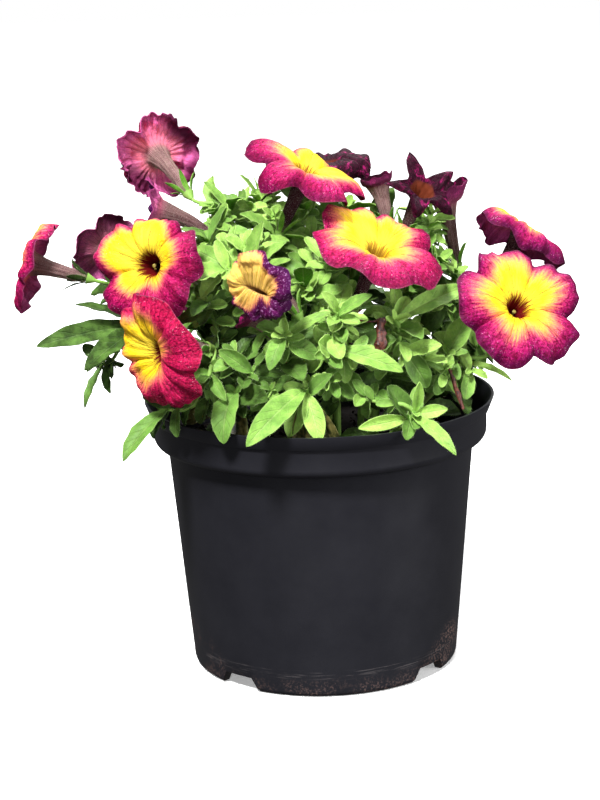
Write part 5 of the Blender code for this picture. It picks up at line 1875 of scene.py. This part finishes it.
    def pistil(self) -> BMesh:
        """The style with its stigma and five anthers, inside the funnel."""
        bm = bmesh.new()
        tip, direction = self.axis_point(0.86)
        turn = UP.rotation_difference(direction).to_matrix().to_4x4()
        ops.create_uvsphere(bm, u_segments=12, v_segments=8, radius=self.stigma_radius,
                            matrix=Matrix.Translation(tip) @ turn @ Matrix.Diagonal((1, 1, 0.6, 1)))
        for index in range(LOBES):
            out = self.spoke(direction, index * tau / LOBES)
            where, _ = self.axis_point(0.72 - 0.02 * (index % 2))
            ops.create_uvsphere(bm, u_segments=8, v_segments=6, radius=self.anther_radius,
                                matrix=Matrix.Translation(where + out * 1.9 * MM) @ turn
                                @ Matrix.Diagonal((0.7, 0.7, 1.2, 1)))
        return bm

    def hairs(self) -> Iterator[BMesh]:
        """Short hairs on the outside of the funnel, a tuft at a time."""
        rng = Random("corolla hairs " + self.bloom.name)
        for tuft_index in range(8):
            tuft = bmesh.new()
            for _ in range(int(self.bloom.tube * 3)):
                part, around = (tuft_index + rng.random()) / 8, rng.uniform(0, tau)
                root = self.point(part, around)
                hair(tuft, rng, root, root - self.axis_point(part)[0], rng.uniform(0.5, 0.9) * MM)
            yield tuft

    def build(self, palette: Palette) -> None:
        """Builds the corolla with its pistil and hairs as one piece.

        Args:
            palette: the finishes.
        """
        name = self.bloom.name
        slot = "petals" if self.bloom.age is Age.FRESH else "old_petals"
        piece = Piece("bloom_" + name, slot, "corolla_" + name)
        piece.add(self.wall(), palette.face, palette.back)
        if self.bloom.age is Age.FRESH:
            piece.add(self.pistil(), palette.pistil)
        for tuft in self.hairs():
            piece.add(tuft, palette.hair)
        piece.finish(smooth=70)


# studio


@dataclass(frozen=True)
class Studio:
    """A plain pale floor, soft light and the camera at the photograph's angle."""

    target: Point = (0.008, -0.003, 0.120)
    distance: float = 1.0
    elevation: float = radians(14.14)
    roll: float = radians(-1.5)
    lens: float = 91.98
    shift: tuple[float, float] = (-0.0249, 0.0225)
    sky_light: float = 0.1
    lights: tuple[tuple[str, Point, float, float], ...] = (
        ("key", (-0.4, -0.95, 1.5), 0.3, 72), ("front", (-0.3, -1.8, 0.5), 0.8, 11),
        ("fill", (1.5, -0.7, 0.45), 0.9, 28), ("back", (0.3, 1.0, 1.5), 1.0, 32))

    def camera(self) -> None:
        """Makes the camera and sets it as the scene's."""
        data = set_up(bpy.data.cameras.new("camera"), sensor_fit="VERTICAL", sensor_height=36, lens=self.lens,
                      shift_x=self.shift[0], shift_y=self.shift[1], clip_start=0.01)
        camera = linked("camera", data)
        back = Vector((0, -cos(self.elevation), sin(self.elevation)))
        right = Vector((1, 0, 0))
        pose = Matrix((right, back.cross(right), back)).transposed() @ Matrix.Rotation(self.roll, 3, "Z")
        camera.matrix_world = Matrix.Translation(Vector(self.target) + back * self.distance) @ pose.to_4x4()
        bpy.context.scene.camera = camera

    def light(self, name: str, where: Point, size: float, power: float) -> None:
        """A soft square light that looks at the plant."""
        lamp = linked(name, set_up(bpy.data.lights.new(name, "AREA"), size=size, energy=power))
        lamp.location = where
        aim = Vector((0, 0, 0.15)) - Vector(where)
        lamp.rotation_euler = aim.to_track_quat("-Z", "Y").to_euler()

    def world(self) -> None:
        """An even pale sky, which the camera sees as white."""
        world = bpy.data.worlds.new("sky")
        world.use_nodes = True
        tree = world.node_tree
        path = tree.nodes.new("ShaderNodeLightPath")
        mix = tree.nodes.new("ShaderNodeMixShader")
        tree.links.new(path.outputs["Is Camera Ray"], mix.inputs[0])
        skies = (tree.nodes["Background"], tree.nodes.new("ShaderNodeBackground"))
        for sky, strength, socket in zip(skies, (self.sky_light, 1.0), mix.inputs[1:]):
            sky.inputs[0].default_value = (1, 1, 1, 1)
            sky.inputs[1].default_value = strength
            tree.links.new(sky.outputs[0], socket)
        tree.links.new(mix.outputs[0], tree.nodes["World Output"].inputs[0])
        bpy.context.scene.world = world

    def floor(self) -> None:
        """A wide floor at the pot's foot."""
        bm = bmesh.new()
        ops.create_grid(bm, x_segments=8, y_segments=8, size=6.0)
        floor = linked("studio_floor", mesh_of(bm, "studio_floor"))
        floor.data.materials.append(FloorFinish().material())
        set_up(floor, visible_diffuse=False, visible_glossy=False)

    def build(self) -> None:
        """Builds the stage, the light and the camera."""
        self.camera()
        self.world()
        self.floor()
        for row in self.lights:
            self.light(*row)
        bpy.context.scene.view_settings.view_transform = "Standard"
        LOG.info("studio: camera, floor and lights")


def main() -> None:
    """Builds the dressed plant, in order."""
    noise.seed_set(NOISE_SEED)
    Studio().build()
    palette = Palette()
    pot = NurseryPot()
    pot.build(palette)
    mix = PottingMix(pot)
    mix.build(palette)
    stems = [LeafyStem(stem, mix) for stem in STEMS]
    clearance = Clearance()
    clearance.add_node("pot")
    for bloom in BLOOMS:
        clearance.add_node("corolla_" + bloom.name)
    for stem in stems:
        stem.lay_out()
        for leaf in stem.leaves:
            clearance.add(stem.stem.name + "/leaf", leaf.rough_blade(stem.leaf_room))
    for stem in stems:
        for path, radii in stem.tubes():
            clearance.add(stem.stem.name, stem.tube(path, radii, 0))
    for stem in stems:
        stem.add_twigs(clearance)
        stem.add_extra(clearance)
    for stem in stems:
        stem.add_young(clearance)
    LOG.info("leaves: %d of the solids, %d young", sum(len(stem.leaves) for stem in stems),
             sum(len(stem.small) for stem in stems))
    for stem in stems:
        stem.build(palette)
    for bloom in BLOOMS:
        Corolla(bloom).build(palette)
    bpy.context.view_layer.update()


if __name__ == "__main__":
    main()
